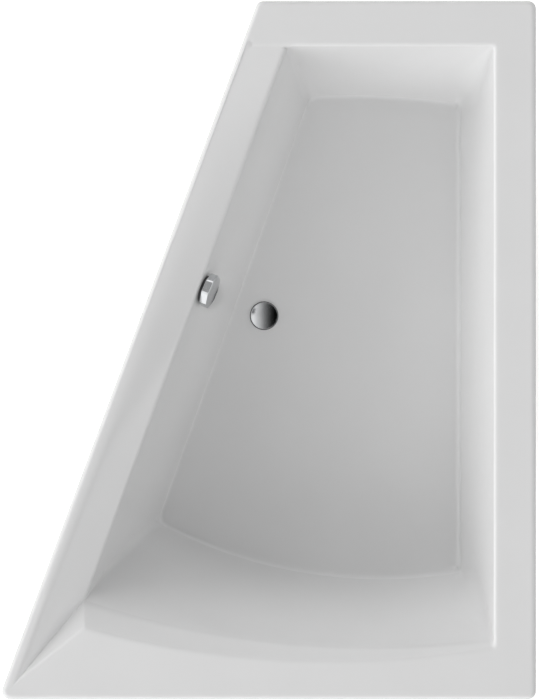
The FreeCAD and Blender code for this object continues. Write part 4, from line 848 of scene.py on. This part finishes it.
def overflowHose():
    # straight down, round a quarter bend and level to the waste; between plain cuffs the radius dips in a
    # cosine wave
    bend, quarter = hose["bend"], hose["bend"] * math.pi / 2
    corner, end = lowered(elbowSpot, portSpot[2]), portSpot + hose["endReach"] * portWay
    fall = elbowSpot[2] - hose["topDrop"] - portSpot[2] - bend
    total = fall + quarter + np.linalg.norm(end - corner) - bend
    along = np.linspace(0, total, hose["rings"])
    turn = np.clip((along - fall) / bend, 0, math.pi / 2)
    across = bend * (1 - np.cos(turn)) + np.clip(along - fall - quarter, 0, None)
    drop = np.minimum(along, fall) + bend * np.sin(turn)
    route = corner + (fall + bend) * up + drop[:, None] * down - across[:, None] * portWay
    forward = np.cos(turn)[:, None] * down - np.sin(turn)[:, None] * portWay
    side, angle = np.cross(portWay, up), fullTurn(hose["around"])
    ring = np.cos(angle)[:, None] * side + np.sin(angle)[:, None] * np.cross(forward, side)[:, None, :]
    free = rising(np.minimum(along, total - along) - hose["cuff"], hose["cuffFade"])
    radius = hose["radius"] - hose["wave"] * free * (0.5 - 0.5 * np.cos(2 * np.pi * along / hose["pitch"]))
    bore = hose["bore"] - hose["boreWave"] * free
    outer, inner = (route[:, None] + size[:, None, None] * ring for size in (radius, bore))
    inner = np.concatenate([inner[::hose["innerStep"]], inner[-1:]])
    return joinRings(np.concatenate([outer, inner[::-1]]), loop=True)


putPiece("overflowHose", overflowHose(), ["overflow_pipe"], crease=70.0)

gland = {"radius": 6.0, "length": 25.0, "mouth": 2.5, "socket": 19.0, "wasteBore": 3.05, "drumBore": 1.2,
         "threads": 7, "threadStart": 12.0, "pitch": 1.7, "depth": 0.6,
         "start": 31.0, "level": 116.0, "groove": 4.8, "drumBehind": 66.0, "drumStart": 13.0}


def cableGland(place, axis, bore):
    # a sleeve with a run of round grooves along its outer half
    radius, length, mouth, socket = (gland[name] for name in ("radius", "length", "mouth", "socket"))
    crests = gland["threadStart"] + gland["pitch"] * np.arange(gland["threads"])
    hollow = np.array([-gland["depth"], gland["pitch"] / 2])
    thread = [spot for crest in crests for spot in ((radius, crest), (radius, crest) + hollow)]
    run = [(bore, 0.0), (radius, 0.0), *thread, (radius, length), (mouth, length), (mouth, socket),
           (bore, socket)]
    return turnedTube(run, place, axis, 0.3, 40)


wasteGland = lowered(drainSpot, gland["level"]) + gland["start"] * glandWay
drumGroove = overflowSpot - gland["groove"] * wallLevel - gland["drumBehind"] * wallInward
drumGland = drumGroove + gland["drumStart"] * down
putPiece("cableGlands", gathered([cableGland(wasteGland, glandWay, gland["wasteBore"]),
                                  cableGland(drumGland, down, gland["drumBore"])]), ["cable_glands"])
print("overflow done")


# rails, legs, feet and nuts

rail = {"width": 40.0, "under": 105.0, "top": 135.0, "sheet": 3.0, "end": 578.0, "nib": 0.5,
        "bend": 5.0, "innerBend": 2.5, "bendSteps": 7, "foot": (-88.86, 430.0), "head": (-360.83, -330.0)}


def channelRun(inset, bend):
    # up one side of the channel, across its top and down the other side
    half, top, under = rail["width"] / 2 - inset, rail["top"] - inset, rail["under"]
    return softCorners([(-half, under), (-half, top), (half, top), (half, under)], bend, rail["bendSteps"])


def channelRail(start, y):
    # a folded strip: the outer run of the section and the inner run facing it, swept along the rail, drawn
    # in a little at both ends, with strips as caps
    outer, inner = channelRun(0.0, rail["bend"]), channelRun(rail["sheet"], rail["innerBend"])
    section = np.vstack([outer, inner[::-1]])
    middle = np.vstack([(outer + inner) / 2, (outer + inner)[::-1] / 2])
    drawnIn = mixed(section, middle, 2 * rail["nib"] / rail["sheet"])
    stations = [(start, drawnIn), (start + rail["nib"], section),
                (rail["end"] - rail["nib"], section), (rail["end"], drawnIn)]
    rings = [np.column_stack([np.full(len(shape), x), shape + [y, 0]]) for x, shape in stations]
    points, quads, fans = joinRings(np.stack(rings))
    count, steps = len(section), np.arange(len(outer) - 1)
    strip = np.stack([steps, steps + 1, count - 2 - steps, count - 1 - steps], axis=1)
    lastRing = (len(rings) - 1) * count
    return outward(points, np.vstack([quads, strip[:, ::-1], strip + lastRing]), fans)


for end in ("foot", "head"):
    putPiece("rail" + end.capitalize(), channelRail(*rail[end]), ["rail_" + end])

leg = {"radius": 6.0, "bottom": 8.0, "top": 173.0, "pitch": 1.75, "depth": 0.75, "chamfer": 1.2,
       "perTurn": 7, "around": 20,
       "spots": {"foot_slant": (-60.86, 430.0, 0.0), "foot_straight": (550.0, 430.0, 0.0),
                 "head_slant": (-332.83, -330.0, 0.0), "head_straight": (550.0, -330.0, 0.0)}}
pad = {"profile": [(1.0, 0.0), (32.0, 0.0), (32.0, 5.0), (14.0, 20.0), (14.0, 24.0), (6.02, 24.0),
                   (6.02, 8.0), (1.0, 8.0)],
       "grip": {"count": 18, "depth": 1.3, "above": 17.0}}
nut = {"sides": 6, "sideSteps": 12, "width": 19.0, "height": 10.0, "bore": 6.06, "boreChamfer": (0.8, 0.7),
       "faceShare": 0.97, "coneRise": 1.7, "coneRows": (0.0, 0.3, 0.6, 1.0),
       "bottoms": {"upper": 135.0, "lower": 122.0}}


def legRod(spot):
    # the radius falls from the crest by a triangle wave of height over pitch less angle over a full turn
    count = int((leg["top"] - leg["bottom"]) / leg["pitch"] * leg["perTurn"])
    height = np.linspace(leg["bottom"], leg["top"], count)
    angle = fullTurn(leg["around"])
    phase = (height[:, None] / leg["pitch"] - angle / (2 * np.pi)) % 1
    radius = leg["radius"] - leg["depth"] * np.abs(2 * phase - 1)
    nearEnd = np.minimum(height - leg["bottom"], leg["top"] - height)[:, None]
    radius = np.minimum(radius, leg["radius"] - leg["chamfer"] + np.clip(nearEnd, 0, leg["chamfer"]))
    return joinRings(ringsAround(spot, up, right, angle, radius, height), caps=True)


def hexNut(spot, bottom):
    # six flats: radius = half width over that cosine, cut by a cone at both ends
    angle, flats = flatted(nut["sides"], np.linspace(-0.5, 0.5, nut["sideSteps"] + 1)[:-1])
    half, height, (wider, deeper) = nut["width"] / 2, nut["height"], nut["boreChamfer"]
    fromFace = np.array([deeper, 0.0, *nut["coneRows"]])
    rise = np.concatenate([fromFace, height - fromFace[::-1]])
    cone = half * nut["faceShare"] + nut["coneRise"] * np.minimum(rise, height - rise)
    radius = np.minimum(half * flats, cone[:, None])
    radius[[0, -1]], radius[[1, -2]] = nut["bore"], nut["bore"] + wider
    return joinRings(ringsAround(spot, up, right, angle, radius, bottom + rise), loop=True)


for name, spot in leg["spots"].items():
    putPiece("legRod." + name, legRod(spot), ["leg_rod_" + name], crease=80.0)
    footPad = turned(pad["profile"], spot, soft=1.4, around=108, ribs=pad["grip"])
    putPiece("footPad." + name, footPad, ["foot_pad_" + name])
for row, bottom in nut["bottoms"].items():
    nuts = gathered([hexNut(spot, bottom) for spot in leg["spots"].values()])
    putPiece(row + "Nuts", nuts, [row + "_nuts"], crease=28.0)
print("rails and legs done")


# stage: floor, light and camera, in metres

stage = {
    "floorHalf": 30.0, "floorDrop": 0.0005, "floorTone": 0.8, "floorGlow": 0.6, "fill": 0.20, "seenSky": 1.45,
    "lamps": [   # compass angle it comes from, height angle, strength
        (225, 16, 1.88), (135, 16, 0.94), (270, 38, 0.69), (135, 38, 0.71), (0, 38, 0.48), (0, 90, 0.08),
    ],
    "lampWidth": 50.0,
    "card": {"height": 5.0, "half": 4.5, "ramp": (-2.0, 2.0), "greyFrom": 2.1, "grey": 0.32, "strength": 1.38,
             "stops": [(0.06, 0.92), (0.26, 0.58), (0.37, 0.42), (0.5, 0.20), (0.64, 0.08), (0.77, 0.016),
                       (0.9, 0.0)]},
    "lens": 1200.0, "sensor": 36.0, "span": 1.704, "aimX": 0.0012, "farEnd": 200.0,
}


def seenRays(tree):
    # 1 for camera, glossy and transmission rays
    rays = newNode(tree, "LightPath", {}).outputs
    seen = greater(tree, rays["Is Camera Ray"], rays["Is Glossy Ray"])
    return greater(tree, seen, rays["Is Transmission Ray"])


def levelSquare(name, half, height):
    mesh = bpy.data.meshes.new(name)
    corners = [(-half, -half), (half, -half), (half, half), (-half, half)]
    mesh.from_pydata([(x, y, height) for x, y in corners], [], [(0, 1, 2, 3)])
    square = bpy.data.objects.new(name, mesh)
    bpy.context.scene.collection.objects.link(square)
    material = bpy.data.materials.new(name)
    material.use_nodes = True
    material.node_tree.nodes.clear()
    mesh.materials.append(material)
    return square, material.node_tree


def paleFloor():
    # a dull pale floor with a glow that only lifts what is seen of it to white, and clear from below
    floor, tree = levelSquare("paleFloor", stage["floorHalf"], -stage["floorDrop"])
    diffuse = newNode(tree, "BsdfDiffuse", {"Color": grey(stage["floorTone"])})
    glow = newNode(tree, "Emission", {"Color": grey(stage["floorGlow"]), "Strength": seenRays(tree)})
    both = newNode(tree, "AddShader", {0: diffuse.outputs[0], 1: glow.outputs[0]})
    clear = newNode(tree, "BsdfTransparent", {})
    below = newNode(tree, "NewGeometry", {}).outputs["Backfacing"]
    sides = newNode(tree, "MixShader", {"Fac": below, 1: both.outputs[0], 2: clear.outputs[0]})
    newNode(tree, "OutputMaterial", {"Surface": sides.outputs[0]})


def softSky():
    # an even fill for the light that falls on things, and a brighter white for what is seen or mirrored of it
    world = bpy.data.worlds.new("softSky")
    world.use_nodes = True
    tree = world.node_tree
    tree.nodes.clear()
    fill, seen = (newNode(tree, "Background", {"Color": grey(1.0), "Strength": stage[name]}).outputs[0]
                  for name in ("fill", "seenSky"))
    mix = newNode(tree, "MixShader", {"Fac": seenRays(tree), 1: fill, 2: seen})
    newNode(tree, "OutputWorld", {"Surface": mix.outputs[0]})
    bpy.context.scene.world = world


def softLamp(number, fromAngle, height, strength):
    # a far, broad lamp: light from a wide cone round its direction
    lamp = bpy.data.lights.new(f"softLamp{number}", "SUN")
    lamp.energy, lamp.angle = strength, math.radians(stage["lampWidth"])
    holder = bpy.data.objects.new(lamp.name, lamp)
    holder.rotation_euler = (math.radians(90 - height), 0, math.radians(fromAngle + 90))
    holder.visible_glossy = False   # the gloss mirrors the sky, the floor and the card only
    bpy.context.scene.collection.objects.link(holder)


def reflectionCard():
    # an overhead card that only mirror rays meet: light on the left to dark on the right, an even grey
    # towards the foot
    card = stage["card"]
    holder, tree = levelSquare("reflectionCard", card["half"], card["height"])
    holder.visible_camera = holder.visible_diffuse = False
    holder.visible_shadow = holder.visible_transmission = False
    place = newNode(tree, "TexCoord", {}).outputs["Object"]
    axes = newNode(tree, "SeparateXYZ", {0: place}).outputs
    start, end = card["ramp"]
    across = newNode(tree, "MapRange", {"Value": axes["X"], "From Min": start, "From Max": end})
    beyond = newNode(tree, "Math", {0: axes["Y"], 1: card["greyFrom"]})
    beyond.operation = "GREATER_THAN"
    mix = newNode(tree, "Mix", {})
    mix.data_type = "RGBA"
    tree.links.new(beyond.outputs[0], mix.inputs["Factor"])
    tree.links.new(graded(tree, across.outputs["Result"], card["stops"]), mix.inputs["A"])
    mix.inputs["B"].default_value = grey(card["grey"])
    glow = newNode(tree, "Emission", {"Color": mix.outputs["Result"], "Strength": card["strength"]})
    newNode(tree, "OutputMaterial", {"Surface": glow.outputs[0]})


def overheadCamera():
    # straight down with a very long lens, so high that the picture's long side takes in the span at the rim
    lens = bpy.data.cameras.new("overhead")
    lens.lens, lens.sensor_width, lens.clip_end = stage["lens"], stage["sensor"], stage["farEnd"]
    camera = bpy.data.objects.new("overhead", lens)
    above = stage["span"] * stage["lens"] / stage["sensor"]
    camera.location = (stage["aimX"], 0.0, rimTop * mm + above)
    bpy.context.scene.collection.objects.link(camera)
    bpy.context.scene.camera = camera


paleFloor()
softSky()
for number, lamp in enumerate(stage["lamps"]):
    softLamp(number, *lamp)
reflectionCard()
overheadCamera()
bpy.context.scene.view_settings.view_transform = "Standard"
print("stage done")
